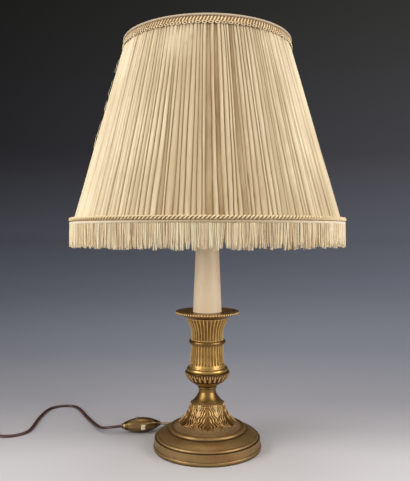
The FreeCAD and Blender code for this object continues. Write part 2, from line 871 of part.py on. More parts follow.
def make_shade_frame():
    """Two wire rings, sloping struts, and a fitter ring on arms from the lower ring."""
    for name, height in (("shade_top_ring", "top_ring_z"), ("shade_bottom_ring", "foot_ring_z")):
        place = "placement(%s; rotation(vector(0; 0; 1); 0))" % vector_text("0", "0", height)
        ring = primitive("Torus", name, place, Radius1=frame_ring_radius(height), Radius2="wire_radius")
        keep(ring, name)
    low_radius = frame_ring_radius("foot_ring_z")
    high_radius = frame_ring_radius("top_ring_z")
    end_gap = "(wire_radius + weld_gap)"
    length = "(top_ring_z - foot_ring_z)"
    fall = "((%s - %s) / %s)" % (low_radius, high_radius, length)
    struts = []
    count = round(value("strut_count"))
    for index in range(count):
        struts.append(wire_between("strut_%d" % index,
                                   "(%s - %s * %s)" % (low_radius, end_gap, fall), "(foot_ring_z + %s)" % end_gap,
                                   "(%s + %s * %s)" % (high_radius, end_gap, fall), "(top_ring_z - %s)" % end_gap,
                                   "(360 / strut_count * %d + 22.5)" % index))
    keep(combine("shade_struts", "Compound", struts), "shade_struts")
    turned("shade_fitter_ring", [
        ("fitter_bore", "fitter_seat"),
        ("fitter_radius", "fitter_seat"),
        ("fitter_radius", "fitter_seat + fitter_sheet"),
        ("fitter_bore", "fitter_seat + fitter_sheet"),
    ])
    arms = []
    for index in range(round(value("arm_count"))):
        arms.append(wire_between("arm_%d" % index,
                                 "(fitter_radius + weld_gap)", "arm_start_height",
                                 "(%s - %s)" % (low_radius, end_gap), "foot_ring_z",
                                 "(360 / arm_count * %d + 90)" % index))
    keep(combine("shade_fitter_arms", "Compound", arms), "shade_fitter_arms")
    turned("shade_clamp_ring", [
        ("holder_thread_radius + fit_gap", "clamp_seat"),
        ("clamp_ring_radius", "clamp_seat"),
        ("clamp_ring_radius", "clamp_seat + clamp_ring_height"),
        ("holder_thread_radius + fit_gap", "clamp_seat + clamp_ring_height"),
    ])


def make_lining():
    low = lining_radius("cover_bottom")
    high = lining_radius("cover_top")
    return turned("shade_lining", [
        (low, "cover_bottom"),
        (high, "cover_top"),
        (high + " - lining_sheet", "cover_top"),
        (low + " - lining_sheet", "cover_bottom"),
    ])


def pleat_wire(crest, valley, height, count):
    """Closed zigzag round the shade: a crest and a valley for each pleat."""
    corners = []
    for index in range(2 * count):
        radius = valley if index % 2 else crest
        angle = math.pi * index / count
        corners.append(Vector(radius * math.cos(angle), radius * math.sin(angle), height))
    return Part.makePolygon(corners + corners[:1])


def make_cover():
    """Pleated cloth: a zigzag sheet lofted from the wide hem to the narrow top, its pleats drawn in alike."""
    count = round(value("pleat_count"))
    low, high = value("cover_bottom"), value("cover_top")
    widest = value("shade_foot_radius")
    skins = []
    for inset in (0, value("pleat_cloth")):
        wires = []
        for height, crest in ((low, value(cloth_radius("cover_bottom"))), (high, value(cloth_radius("cover_top")))):
            share = crest / widest
            outer = crest - inset * share
            wires.append(pleat_wire(outer, outer - value("pleat_depth") * share, height, count))
        skins.append(Part.makeLoft(wires, True, True))
    cover = document.addObject("Part::Feature", "shade_cover")
    cover.Shape = skins[0].cut(skins[1])
    keep(cover, "shade_cover")


def make_trims():
    """Binding and gimp at the top edge, rope gimp, piping and fringe at the hem."""
    top = "cover_top + 0.1"
    edge = cloth_radius("cover_top") + " + top_binding_overhang"
    turned("shade_top_binding", [
        ("top_binding_inner_radius", top),
        (edge, top, "top_binding_height + 1.5"),
        (edge + " - 2.4", top + " + top_binding_height"),
        ("top_binding_inner_radius + 2.4", top + " + top_binding_height", "top_binding_height + 1.5"),
    ])
    gimp_low = "cover_top - top_gimp_height"
    low = cloth_radius("(" + gimp_low + ")") + " + fit_gap"
    high = cloth_radius("cover_top") + " + fit_gap"
    turned("shade_top_gimp", [
        (low, gimp_low),
        (low + " + gimp_thickness", gimp_low),
        (high + " + gimp_thickness", "cover_top"),
        (high, "cover_top"),
    ])
    rope_z = "(foot_ring_z + rope_rise)"
    piping_z = "(foot_ring_z - piping_drop)"
    piping_centre = "(%s + fit_gap + piping_radius)" % cloth_radius(piping_z)
    rope_centre = "(%s + fit_gap + rope_radius)" % cloth_radius(rope_z)
    for name, height, radius, section in (("shade_bottom_gimp", rope_z, rope_centre, "rope_radius"),
                                          ("shade_bottom_piping", piping_z, piping_centre, "piping_radius")):
        place = "placement(%s; rotation(vector(0; 0; 1); 0))" % vector_text("0", "0", height)
        keep(primitive("Torus", name, place, Radius1=radius, Radius2=section), name)
    fringe_top = "(%s - piping_radius - 0.1)" % piping_z
    half = "fringe_thickness / 2"
    turned("shade_fringe", [
        ("%s - %s" % (piping_centre, half), "%s - fringe_length" % fringe_top),
        ("%s + %s" % (piping_centre, half), "%s - fringe_length" % fringe_top),
        ("%s + %s" % (piping_centre, half), fringe_top),
        ("%s - %s" % (piping_centre, half), fringe_top),
    ])


# ------------------------------------------------------------------ in-line switch
# Drawn along its own X axis, with the button's bar along Y, and then laid on the table.

def switch_place(x="0", y="0", z="0"):
    """Placement of the switch's own frame, moved within that frame."""
    turn = "rotation(vector(0; 0; 1); switch_turn)"
    where = vector_text("switch_x + (%s) * cos(switch_turn) - (%s) * sin(switch_turn)" % (x, y),
                        "switch_y + (%s) * sin(switch_turn) + (%s) * cos(switch_turn)" % (x, y),
                        "switch_radius + (%s)" % z)
    return "placement(%s; %s)" % (where, turn)


def slot_tool(name, half_width, half_height):
    """Long bar along Y used to cut the button's way."""
    place = switch_place("button_offset - (%s)" % half_width, "-2 * switch_radius", "-(%s)" % half_height)
    return primitive("Box", name, place, Length="2 * (%s)" % half_width, Width="4 * switch_radius",
                     Height="2 * (%s)" % half_height)


def make_switch_shell(name, upward):
    """Half of the olive's wall, open at its ends for the bushes and at its sides for the button."""
    body = document.addObject("PartDesign::Body", name + "_blank")
    wall = "switch_wall"
    shape = outline(body, "XY_Plane", name + "_outline", [
        ("-switch_half", "switch_end_radius - 0.6"),
        ("switch_half", "switch_end_radius - 0.6"),
        ("switch_half", "switch_end_radius", "switch_bend"),
        ("-switch_half", "switch_end_radius"),
    ])
    turn = revolve(body, shape, "H_Axis", 180)
    turn.Reversed = not upward
    cavity = outline(body, "XY_Plane", name + "_cavity", [
        ("-switch_core_half", "0"),
        ("switch_core_half", "0"),
        ("switch_core_half", "switch_core_radius - " + wall, "switch_bend - " + wall),
        ("-switch_core_half", "switch_core_radius - " + wall),
    ])
    hollow = revolve(body, cavity, "H_Axis", 360, "Groove")
    bind(body, Placement=switch_place())
    slot = slot_tool(name + "_slot", "button_width / 2 + 0.3", "button_height / 2 + 0.3")
    tools = [slot]
    if upward:
        hole_place = switch_place("screw_offset", "0", "0")
        tools.append(primitive("Cylinder", name + "_screw_hole", hole_place,
                               Radius="screw_shank_radius + 0.2", Height="2 * switch_radius"))
    fused = tools[0] if len(tools) == 1 else combine(name + "_tools", "MultiFuse", tools)
    keep(combine(name, "Cut", [body, fused]), name)


def make_switch():
    make_switch_shell("switch_shell_upper", True)
    make_switch_shell("switch_shell_lower", False)
    button = primitive("Box", "button_bar", switch_place("button_offset - button_width / 2",
                                                         "-switch_radius - button_stand", "-button_height / 2"),
                       Length="button_width", Width="2 * switch_radius + button_stand + 0.2", Height="button_height")
    softened = document.addObject("Part::Fillet", "switch_button")
    softened.Base = button
    document.recompute()
    ends = [index for index, edge in enumerate(button.Shape.Edges, 1)
            if abs(edge.Curve.Direction.dot(Vector(-math.sin(math.radians(value("switch_turn"))),
                                                   math.cos(math.radians(value("switch_turn"))), 0))) < 0.5]
    softened.Edges = [(index, 0.5, 0.5) for index in ends]
    keep(softened, "switch_button")
    block = primitive("Box", "insert_block", switch_place("-insert_length / 2", "-insert_half_width",
                                                          "-insert_half_height"),
                      Length="insert_length", Width="2 * insert_half_width", Height="2 * insert_half_height")
    way = slot_tool("insert_way", "button_width / 2 + 0.3", "button_height / 2 + 0.3")
    shank_way = primitive("Cylinder", "insert_screw_hole", switch_place("screw_offset", "0", "-switch_radius"),
                          Radius="screw_shank_radius + 0.3", Height="2 * switch_radius")
    ways = combine("insert_ways", "MultiFuse", [way, shank_way])
    keep(combine("switch_insert", "Cut", [block, ways]), "switch_insert")
    screw = turned("switch_screw", [
        ("0", "-insert_half_height"),
        ("screw_shank_radius", "-insert_half_height"),
        ("screw_shank_radius", "screw_seat"),
        ("screw_head_radius", "screw_seat"),
        ("screw_head_radius", "screw_seat + screw_head / 2"),
        ("screw_head_radius - screw_head / 2", "screw_seat + screw_head"),
        ("0", "screw_seat + screw_head"),
    ])
    bind(screw, Placement=switch_place("screw_offset", "0", "0"))
    for name, turn_round in (("switch_bush_left", "180"), ("switch_bush_right", "0")):
        bush = turned(name, [
            ("0", "switch_core_half + 0.2"),
            ("switch_end_radius - 0.7", "switch_core_half + 0.2"),
            ("switch_end_radius - 0.7", "switch_half + 0.1"),
            ("switch_end_radius", "switch_half + 0.1"),
            ("lead_radius + 0.4", "switch_half + switch_bush_stub"),
            ("0", "switch_half + switch_bush_stub"),
        ])
        turn = "rotation(vector(0; 0; 1); switch_turn + %s) * rotation(vector(0; 1; 0); 90)" % turn_round
        bind(bush, Placement="placement(%s; %s)" % (vector_text("switch_x", "switch_y", "switch_radius"), turn))


# ------------------------------------------------------------------ lead

def in_plane(angle):
    return Vector(math.cos(math.radians(angle)), math.sin(math.radians(angle)), 0)


def switch_end(side):
    """Where the lead meets the switch, at its left (-1) or right (1) bush, and the way out of it."""
    along = in_plane(value("switch_turn")) * side
    centre = Vector(value("switch_x"), value("switch_y"), value("switch_radius"))
    return centre + along * value("switch_half + switch_bush_stub + lead_gap"), along


def rounded_route(name, points):
    """Straight runs joined by tangent arcs, each as large as its two runs allow."""
    edges = []
    radii = []
    start = points[0]
    for before, corner, after in zip(points, points[1:], points[2:]):
        arriving = corner - before
        leaving = after - corner
        reach = 0.45 * min(arriving.Length, leaving.Length)
        half_turn = arriving.getAngle(leaving) / 2
        radius = reach / math.tan(half_turn)
        radii.append(round(radius, 1))
        arriving.normalize()
        leaving.normalize()
        first = corner - arriving * reach
        last = corner + leaving * reach
        middle = corner + (leaving - arriving).normalize() * (radius / math.cos(half_turn) - radius)
        edges.append(Part.LineSegment(start, first).toShape())
        edges.append(Part.Arc(first, middle, last).toShape())
        start = last
    edges.append(Part.LineSegment(start, points[-1]).toShape())
    print(name, "arc radii:", radii)
    return edges


def sweep_tube(name, edges, start, heading):
    """Round tube along a path, its volume compared with its section times its length."""
    radius = value("lead_radius")
    path = Part.Wire(edges)
    section = Part.Wire(Part.makeCircle(radius, start, heading))
    shape = path.makePipeShell([section], True, False)
    expected = math.pi * radius ** 2 * path.Length
    print("%s: length %.1f, volume / expected %.5f" % (name, path.Length, shape.Volume / expected))
    if abs(shape.Volume / expected - 1) > 0.01:
        raise RuntimeError(name + " has the wrong volume")
    tube = document.addObject("Part::Feature", name)
    tube.Shape = shape
    keep(tube, name)
    return path.Length


def tube_along(name, points):
    return sweep_tube(name, rounded_route(name, points), points[0], points[1] - points[0])


def biarc(start, heading, end, end_heading):
    """Two arcs that leave start along heading, meet smoothly and reach end along end_heading."""
    across = end - start
    both = heading + end_heading
    spread = 2 * (1 - heading.dot(end_heading))
    lean = across.dot(both)
    if spread < 1e-9:
        reach = across.dot(across) / (4 * across.dot(end_heading))
    else:
        reach = (-lean + math.sqrt(lean ** 2 + spread * across.dot(across))) / spread
    meeting = (start + end + (heading - end_heading) * reach) * 0.5
    arcs = []
    for point, way in ((start, heading), (end, end_heading * -1)):
        chord = meeting - point
        corner = point + way * reach
        middle = (point + meeting) * 0.5
        inward = corner - middle
        half = chord.Length / 2
        turn = math.atan2(inward.Length, half)
        bulge = half * math.tan(turn / 2)
        crown = middle + inward.normalize() * bulge
        arcs.append((point, crown, meeting))
    first, second = arcs
    return [Part.Arc(*first).toShape(), Part.Arc(second[2], second[1], second[0]).toShape()]


def coil_point(turns):
    """Centre line of the coil after some turns: spirals in on the floor, climbs one layer, spirals out."""
    middle = value("coil_turns") / 2
    pitch = value("coil_pitch")
    radius = value("coil_radius") - pitch * (middle - abs(turns - middle))
    climb = min(max((turns - middle) / 0.5 + 0.5, 0), 1)
    rise = pitch * climb * climb * (3 - 2 * climb)
    height = value("coil_bottom + lead_radius") + rise
    direction = in_plane(value("coil_start_angle") + 360 * turns)
    return Vector(value("coil_x"), value("coil_y"), height) + direction * radius


def coil_heading(turns):
    """Way along the coil; where the spiral reverses it is square to the radius."""
    step = 0.001
    return (coil_point(turns + step) - coil_point(turns - step)).normalize()


def coil_marks():
    """Turns at which the coil's arcs meet: quarter turns counted from the reversal, and both ends."""
    turns = value("coil_turns")
    marks = [0]
    quarter = turns / 2 - 0.25 * math.floor(turns / 2 / 0.25)
    while quarter < turns - 0.01:
        if quarter > 0.08:
            marks.append(quarter)
        quarter += 0.25
    if turns - marks[-1] < 0.08:
        marks.pop()
    return marks + [turns]


def coil_ends():
    """Both ends of the coil: the point where its straight end starts or stops, and the way along it."""
    straight = 2 * value("lead_radius")
    first, last = coil_point(0), coil_point(value("coil_turns"))
    entry, leave = coil_heading(0), coil_heading(value("coil_turns"))
    return first - entry * straight, entry, last + leave * straight, leave


def coil_self_gap(edges):
    """Least distance between the coil's surface and itself, on points along its centre line."""
    spacing = 2.0
    points = []
    for edge in edges:
        count = max(2, round(edge.Length / spacing))
        points += edge.discretize(count)[:-1]
    skip = round(4 * 2 * value("lead_radius") / spacing)
    least = 1e9
    for index, point in enumerate(points):
        for other in points[index + skip:]:
            least = min(least, point.distanceToPoint(other))
    return least - 2 * value("lead_radius")


def make_coil():
    """The put-away rest of the lead: one unbroken tube wound in two layers."""
    start, entry, end, leave = coil_ends()
    marks = coil_marks()
    edges = [Part.LineSegment(start, coil_point(0)).toShape()]
    for before, after in zip(marks, marks[1:]):
        edges += biarc(coil_point(before), coil_heading(before), coil_point(after), coil_heading(after))
    edges.append(Part.LineSegment(coil_point(marks[-1]), end).toShape())
    print("coil least self-gap %.2f" % coil_self_gap(edges))
    return sweep_tube("lead_coil", edges, start, entry)


def make_coil_tie():
    """Flat band round the coil's bundle of strands."""
    gap = 0.3
    radius = value("lead_radius")
    outer = value("coil_radius") + radius + gap
    inner = value("coil_radius - coil_pitch * coil_turns / 2") - radius - gap
    low = value("coil_bottom") - gap
    high = value("coil_bottom + coil_pitch") + 2 * radius + gap
    wall = value("tie_thickness")
    width = value("tie_width")
    band = Part.makeBox(outer - inner + 2 * wall, width, high - low + 2 * wall,
                        Vector(inner - wall, -width / 2, low - wall))
    way = Part.makeBox(outer - inner, 2 * width, high - low, Vector(inner, -width, low))
    rounded = band.makeFillet(2, [edge for edge in band.Edges if abs(edge.tangentAt(0).y) > 0.9])
    tie = document.addObject("Part::Feature", "coil_tie")
    tie.Shape = rounded.cut(way)
    tie.Placement = FreeCAD.Placement(Vector(value("coil_x"), value("coil_y"), 0),
                                      FreeCAD.Rotation(Vector(0, 0, 1), value("tie_angle")))
    keep(tie, "coil_tie")


def make_inner_lead():
    """Lead inside the lamp: from the bush to the middle of the foot, then up the rod to the lampholder."""
    azimuth = value("outlet_azimuth")
    height = value("outlet_height")
    mouth = in_plane(azimuth) * value("flange_plane + bush_flange") + Vector(0, 0, height)
    top = Vector(0, 0, value("holder_top_of_cap"))
    radius = 27
    corner = Vector(0, 0, height)
    first = corner + in_plane(azimuth) * radius
    last = corner + Vector(0, 0, radius)
    middle = corner + (in_plane(azimuth) + Vector(0, 0, 1)) * radius * (1 - math.sqrt(0.5))
    edges = [Part.LineSegment(mouth, first).toShape(), Part.Arc(first, middle, last).toShape(),
             Part.LineSegment(last, top).toShape()]
    return sweep_tube("inner_lead", edges, mouth, first - mouth)


def make_leads():
    """The lead outside the lamp, laid on the table, from the foot to the switch and on to the coil."""
    floor = value("lead_radius") + 0.1
    mouth_radius = value("flange_plane + bush_flange")
    outlet_way = in_plane(value("outlet_azimuth"))
    mouth = outlet_way * (mouth_radius + value("lead_gap")) + Vector(0, 0, value("outlet_height"))
    right_end, right_way = switch_end(1)
    clear = [mouth,
             mouth + outlet_way * 15 + Vector(0, 0, -2.4),
             Vector(7.5, 94, floor + 0.6),
             Vector(-8.5, 99, floor),
             Vector(-31, 83, floor + 0.4),
             right_end + right_way * 16 + Vector(0, 0, -2.2),
             right_end]
    left_end, left_way = switch_end(-1)
    coil_start, coil_entry = coil_ends()[:2]
    brown = [left_end,
             left_end + left_way * 8,
             Vector(-127.4, 44.5, 8.4),
             Vector(-137.4, 51, 6.6),
             Vector(-149, 72, 3.6),
             Vector(-166, 104, floor),
             Vector(-189, 152, floor),
             Vector(-203.2, 159.4, floor),
             Vector(-219, 156.7, floor),
             Vector(-229.6, 144, floor),
             Vector(-232, 117, floor),
             Vector(-231.5, 88, floor),
             Vector(-229.5, 64, floor),
             Vector(-230.5, 46, floor),
             Vector(-239.5, 34, floor),
             Vector(-253.6, 28.9, floor),
             Vector(-268.2, 32.3, floor + 0.2),
             coil_start - coil_entry * 12,
             coil_start]
    coil_end, coil_leave = coil_ends()[2:]
    relief_tip = Vector(value("plug_x"), value("plug_y + plug_length / 2 + relief_length + lead_gap"),
                        value("plug_thickness / 2"))
    tail = [coil_end,
            coil_end + coil_leave * 14 + Vector(0, 0, -0.3),
            relief_tip + Vector(0.5, 15, 0.8),
            relief_tip]
    for name, points in (("lead_clear", clear), ("lead_brown", brown), ("lead_tail", tail)):
        tube_along(name, points)


# ------------------------------------------------------------------ plug
# Lies flat beside the coil with its pins towards -Y.

def plug_place(y="0"):
    return "placement(%s; rotation(vector(0; 0; 1); 0))" % vector_text("plug_x", "plug_y + (%s)" % y, "0")


def make_plug():
    body = new_body("plug_body")
    half = "plug_length / 2"
    shape = outline(body, "XY_Plane", "plug_outline", [
        ("-plug_half_width", "-" + half),
        ("plug_half_width", "-" + half),
        ("plug_half_width", "-%s + 10" % half, "-30"),
        ("plug_half_waist", "%s - 12" % half),
        ("plug_back_half_width", half),
        ("-plug_back_half_width", half),
        ("-plug_half_waist", "%s - 12" % half, "-30"),
        ("-plug_half_width", "-%s + 10" % half),
    ])
    block = extrude(body, shape, "plug_thickness")
    document.recompute()
    edges = ["Edge%d" % number for number, edge in enumerate(block.Shape.Edges, 1)
             if edge.BoundBox.ZLength < 0.01]
    soft = body.newObject("PartDesign::Fillet", "plug_softened")
    soft.Base = (block, edges)
    bind(soft, Radius="plug_edge")
    bind(body, Placement=plug_place())
    relief = turned("plug_relief", [
        ("0", "0.1"),
        ("relief_radius", "0.1"),
        ("relief_tip_radius", "relief_length"),
        ("0", "relief_length"),
    ])
    middle = vector_text("plug_x", "plug_y + " + half, "plug_thickness / 2")
    bind(relief, Placement="placement(%s; rotation(vector(1; 0; 0); -90))" % middle)
    pins = []
    for index, side in enumerate(("-1", "1")):
        where = vector_text("plug_x + %s * pin_spacing / 2" % side, "plug_y - %s - pin_length" % half,
                            "plug_thickness / 2")
        pins.append(primitive("Cylinder", "pin_%d" % index, "placement(%s; rotation(vector(1; 0; 0); -90))" % where,
                              Radius="pin_radius", Height="pin_length"))
    keep(combine("plug_pins", "Compound", pins), "plug_pins")


# ------------------------------------------------------------------ build, check and write

make_foot()
make_cable_bush()
make_neck()
make_urn()
make_lower_socket()
make_socket_ring()
make_upper_socket()
make_drip_pan()
make_rod()
make_washer()
make_nut("rod_nut_lower", "nut_seat")
make_nut("rod_nut_upper", "sleeve_seat")
make_sleeve()
make_holder_cap()
make_holder_body()
make_holder_insert()
make_screw_shell()
make_centre_contact()
make_bulb()
make_shade_frame()
make_lining()
make_cover()
make_trims()
make_switch()
make_inner_lead()
make_leads()
make_coil()
make_coil_tie()
make_plug()
document.recompute()

for thing in document.Objects:
    if "Invalid" in thing.State or "Error" in thing.State:
        raise RuntimeError(thing.Label + " failed: " + str(thing.State))
faulty = [node.Label for node in nodes
          if node.Shape.isNull() or not node.Shape.isValid() or not node.Shape.Solids]
if faulty:
    raise RuntimeError("no valid solid: " + ", ".join(faulty))

os.makedirs("parts", exist_ok=True)
for node in nodes:
    node.Shape.exportStep("parts/%s.step" % node.Label)
print(len(nodes), "nodes written")
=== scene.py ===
# %% [markdown]
# # A candlestick lamp under a pleated shade
# The lamp is a small bronze candlestick, made into a table lamp, under a shade of pleated cloth with braid
# and fringe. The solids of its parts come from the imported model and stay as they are: they only get their
# finishes here. What a solid can't show well is modelled over it or instead of it, such as the carved leaves,
# the pleats, the fringe and the lead.
# All sizes are worked out in millimetres, as in the drawing of the lamp, and go to Blender in metres.

# %% Load the solids
import math
import random
import bpy
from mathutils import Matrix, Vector, noise


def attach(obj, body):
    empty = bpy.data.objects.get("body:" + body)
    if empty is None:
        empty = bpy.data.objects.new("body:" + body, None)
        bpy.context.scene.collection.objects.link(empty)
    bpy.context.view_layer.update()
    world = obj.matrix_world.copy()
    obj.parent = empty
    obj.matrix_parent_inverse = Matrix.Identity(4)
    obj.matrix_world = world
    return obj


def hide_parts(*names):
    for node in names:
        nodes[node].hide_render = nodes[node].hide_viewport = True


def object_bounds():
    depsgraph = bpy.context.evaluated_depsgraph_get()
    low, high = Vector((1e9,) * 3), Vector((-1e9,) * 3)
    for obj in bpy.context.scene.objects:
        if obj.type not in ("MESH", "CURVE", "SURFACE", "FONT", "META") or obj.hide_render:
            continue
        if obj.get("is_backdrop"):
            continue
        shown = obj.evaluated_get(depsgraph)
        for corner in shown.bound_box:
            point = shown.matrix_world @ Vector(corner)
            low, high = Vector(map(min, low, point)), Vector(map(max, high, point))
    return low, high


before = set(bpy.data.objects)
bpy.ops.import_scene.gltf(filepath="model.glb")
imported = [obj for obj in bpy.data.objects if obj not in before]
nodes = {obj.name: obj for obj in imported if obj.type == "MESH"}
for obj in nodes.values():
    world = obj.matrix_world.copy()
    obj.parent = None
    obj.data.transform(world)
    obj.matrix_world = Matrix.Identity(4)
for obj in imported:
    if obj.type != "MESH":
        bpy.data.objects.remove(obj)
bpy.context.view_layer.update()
scene = bpy.context.scene
scene.view_settings.view_transform = "Standard"
MM = 0.001


# %% [markdown]
# ## The camera
# The photograph was taken from about half the height of the lamp: the top rim of the shade shows its front edge
# only, and the foot shows its upper side. An ellipse tells the height of the eye: the flatter it looks, the
# closer the eye is to its level. The place was worked out from the ellipses of the rim and the foot, and the
# lens from the height of the lamp in the picture. The camera looks level, because upright edges stay parallel
# in the picture, and a small shift of the lens brings the foot into the frame.

# %% Set the camera
# Both in pixels of the picture.
PICTURE_HEIGHT = 481
LENS_SHIFT = -9.1


def deselect():
    """Leave object mode with nothing selected, so that an operator acts only on what is picked next."""
    if bpy.context.mode != "OBJECT":
        bpy.ops.object.mode_set(mode="OBJECT")
    bpy.ops.object.select_all(action="DESELECT")


deselect()
bpy.ops.object.camera_add(location=(-0.0028, -0.705, 0.2597), rotation=(math.radians(90), 0, 0))
camera = bpy.context.object
camera.data.sensor_width = 36
camera.data.lens = 43.63
camera.data.shift_y = LENS_SHIFT / PICTURE_HEIGHT
scene.camera = camera
print("camera stands", round(-camera.location.y, 3), "m in front of the lamp")


# %% [markdown]
# ## Tools for finishes
# A finish is a small tree of shader nodes. Cloth, bronze and plastic need the same few steps: a place on the
# surface, a pattern at that place, a ramp that turns the pattern into colours, a mix, and a bump. Each step is
# written once here as a short function, so that the trees further down read like recipes.

# %% Tools for finishes
def tint(red, green, blue):
    """A colour picked on screen, from 0 to 255, as the linear colour that a shader works with."""
    def linear(level):
        share = level / 255
        return share / 12.92 if share <= 0.04045 else ((share + 0.055) / 1.055) ** 2.4
    return linear(red), linear(green), linear(blue), 1


def add(tree, kind, inputs=None, **settings):
    """One node of a tree. An input is a plain value, or the socket of another node that feeds it."""
    made = tree.nodes.new("ShaderNode" + kind)
    for key, setting in settings.items():
        setattr(made, key, setting)
    for key, source in (inputs or {}).items():
        if isinstance(source, bpy.types.NodeSocket):
            tree.links.new(source, made.inputs[key])
        else:
            made.inputs[key].default_value = source
    return made


def new_finish(name, **sockets):
    """A material with one Principled shader, its plain sockets set. Returns material, tree and shader."""
    material = bpy.data.materials.new(name)
    material.use_nodes = True
    tree = material.node_tree
    shader = tree.nodes["Principled BSDF"]
    for key, setting in sockets.items():
        shader.inputs[key.replace("_", " ")].default_value = setting
    return material, tree, shader


def feed(tree, shader, **sources):
    """Link the sockets of other nodes to the inputs of a shader."""
    for key, source in sources.items():
        tree.links.new(source, shader.inputs[key.replace("_", " ")])


def object_place(tree, scale=(1, 1, 1)):
    """The place on the object in metres, stretched by a scale for each axis."""
    place = add(tree, "TexCoord").outputs["Object"]
    return add(tree, "Mapping", {"Vector": place, "Scale": scale}).outputs["Vector"]


def cloud(tree, place, scale, detail=3.0, roughness=0.55):
    """Soft random pattern from 0 to 1. The scale counts its lumps in a metre."""
    return add(tree, "TexNoise", {"Vector": place, "Scale": scale, "Detail": detail,
                                  "Roughness": roughness}).outputs["Fac"]


def ramp(tree, factor, *stops):
    """Turns a factor into colours. A stop is its place from 0 to 1 and a colour, or a grey from 0 to 1."""
    made = add(tree, "ValToRGB", {"Fac": factor})
    for number, (place, colour) in enumerate(stops):
        elements = made.color_ramp.elements
        element = elements[number] if number < 2 else elements.new(place)
        element.position = place
        element.color = colour if isinstance(colour, tuple) else (colour, colour, colour, 1)
    return made.outputs["Color"]


def mix(tree, factor, first, second, blend="MIX"):
    """Mixes two colours, each a socket or a colour."""
    return add(tree, "Mix", {0: factor, 6: first, 7: second}, data_type="RGBA", blend_type=blend).outputs[2]


def reckon(tree, operation, first, second=0.0):
    """One step of arithmetic on two values or sockets."""
    return add(tree, "Math", {0: first, 1: second}, operation=operation).outputs[0]


def plus(tree, first, second):
    """The sum of two values or sockets."""
    return reckon(tree, "ADD", first, second)


def times(tree, first, second):
    """The product of two values or sockets."""
    return reckon(tree, "MULTIPLY", first, second)


def bump(tree, height, strength, distance, below=None):
    """A normal tilted by a height pattern. The distance is the height of its lumps in metres."""
    inputs = {"Height": height, "Strength": strength, "Distance": distance}
    if below is not None:
        inputs["Normal"] = below
    return add(tree, "Bump", inputs).outputs["Normal"]


def stored(tree, name):
    """A value that the mesh stores at its points, such as how deep a fold is."""
    return add(tree, "Attribute", attribute_name=name).outputs["Fac"]


def finish_nodes(material, *names):
    """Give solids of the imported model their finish. Their shape is left alone."""
    for name in names:
        nodes[name].data.materials.clear()
        nodes[name].data.materials.append(material)
    print(material.name, "on", ", ".join(names))


# %% [markdown]
# ## Tools for pieces
# Every piece ends in the same way: its modifiers and its place are applied, it is smoothed and named, and it gets
# its finish and its body. An operator acts on what is selected, so a tool first picks its piece.

# %% Tools for pieces
def take(piece):
    """Pick one piece, and nothing else."""
    deselect()
    piece.select_set(True)
    bpy.context.view_layer.objects.active = piece


def built(name, vertices, faces):
    """A piece built from points in metres and the faces between them."""
    mesh = bpy.data.meshes.new(name)
    mesh.from_pydata(vertices, [], faces)
    piece = bpy.data.objects.new(name, mesh)
    scene.collection.objects.link(piece)
    return piece


def close_up(piece, weld=0.0):
    """Merge the points of a piece that lie closer than weld, and turn its faces outwards."""
    take(piece)
    bpy.ops.object.mode_set(mode="EDIT")
    bpy.ops.mesh.select_all(action="SELECT")
    if weld:
        bpy.ops.mesh.remove_doubles(threshold=weld)
    bpy.ops.mesh.normals_make_consistent(inside=False)
    bpy.ops.object.mode_set(mode="OBJECT")


def finish_piece(piece, name, material, body, angle=40):
    """Apply the modifiers and the place of a piece, smooth it, name it, give its finish and its body."""
    take(piece)
    for modifier in list(piece.modifiers):
        bpy.ops.object.modifier_apply(modifier=modifier.name)
    bpy.ops.object.transform_apply(location=True, rotation=True, scale=True)
    bpy.ops.object.shade_smooth_by_angle(angle=math.radians(angle))
    piece.name = name
    piece.data.name = name
    piece.data.materials.clear()
    piece.data.materials.append(material)
    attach(piece, body)
    print(name, "has", len(piece.data.polygons), "faces")
    return piece


# %% [markdown]
# ## The lead
# The lamp has a thin flat twin lead. Its first stretch, from the foot to the switch, is clear, and the copper
# cores show through. The rest, from the switch on, is dark brown and lies on the table in a loose bend, then
# runs out of the picture, where it is wound into a small coil with its plug beside it.
# A lead lies in one smooth line because it is stiff. So each stretch is one smooth spline, whose control points
# are the points of its route, and the lead's own flat section is carried along that line.

# %% Tools for the lead
UP = Vector((0, 0, 1))


def smooth_line(name, route):
    """Points along one smooth spline that has a route in millimetres as its control points."""
    curve = bpy.data.curves.new(name, "CURVE")
    curve.dimensions = "3D"
    curve.resolution_u = 8
    spline = curve.splines.new("NURBS")
    spline.points.add(len(route) - 1)
    for point, place in zip(spline.points, route):
        point.co = (place[0] * MM, place[1] * MM, place[2] * MM, 1)
    spline.order_u = 3
    spline.use_endpoint_u = True
    drawn = bpy.data.objects.new(name, curve)
    scene.collection.objects.link(drawn)
    bare = bpy.data.meshes.new_from_object(drawn)
    line = [vertex.co.copy() for vertex in bare.vertices]
    bpy.data.objects.remove(drawn)
    bpy.data.curves.remove(curve)
    bpy.data.meshes.remove(bare)
    return line


def line_length(line):
    """Length of a line of points, in metres."""
    return sum((after - before).length for before, after in zip(line, line[1:]))


def twin_section(half_gap, core):
    """Outline of a flat twin lead across its run: two round cores side by side. In millimetres."""
    crease = math.degrees(math.acos(-half_gap / core))
    outline = []
    for side in (1, -1):
        turns = [-crease + 2 * crease * step / 8 for step in range(9)]
        if side < 0:
            turns = turns[1:-1]
        for turn in turns:
            angle = math.radians(turn)
            outline.append((side * (half_gap + core * math.cos(angle)), side * core * math.sin(angle)))
    return outline


def round_section(radius, sides, shift):
    """Outline of a round core, in millimetres, moved sideways by a shift."""
    turns = [math.tau * side / sides for side in range(sides)]
    return [(shift + radius * math.cos(turn), radius * math.sin(turn)) for turn in turns]


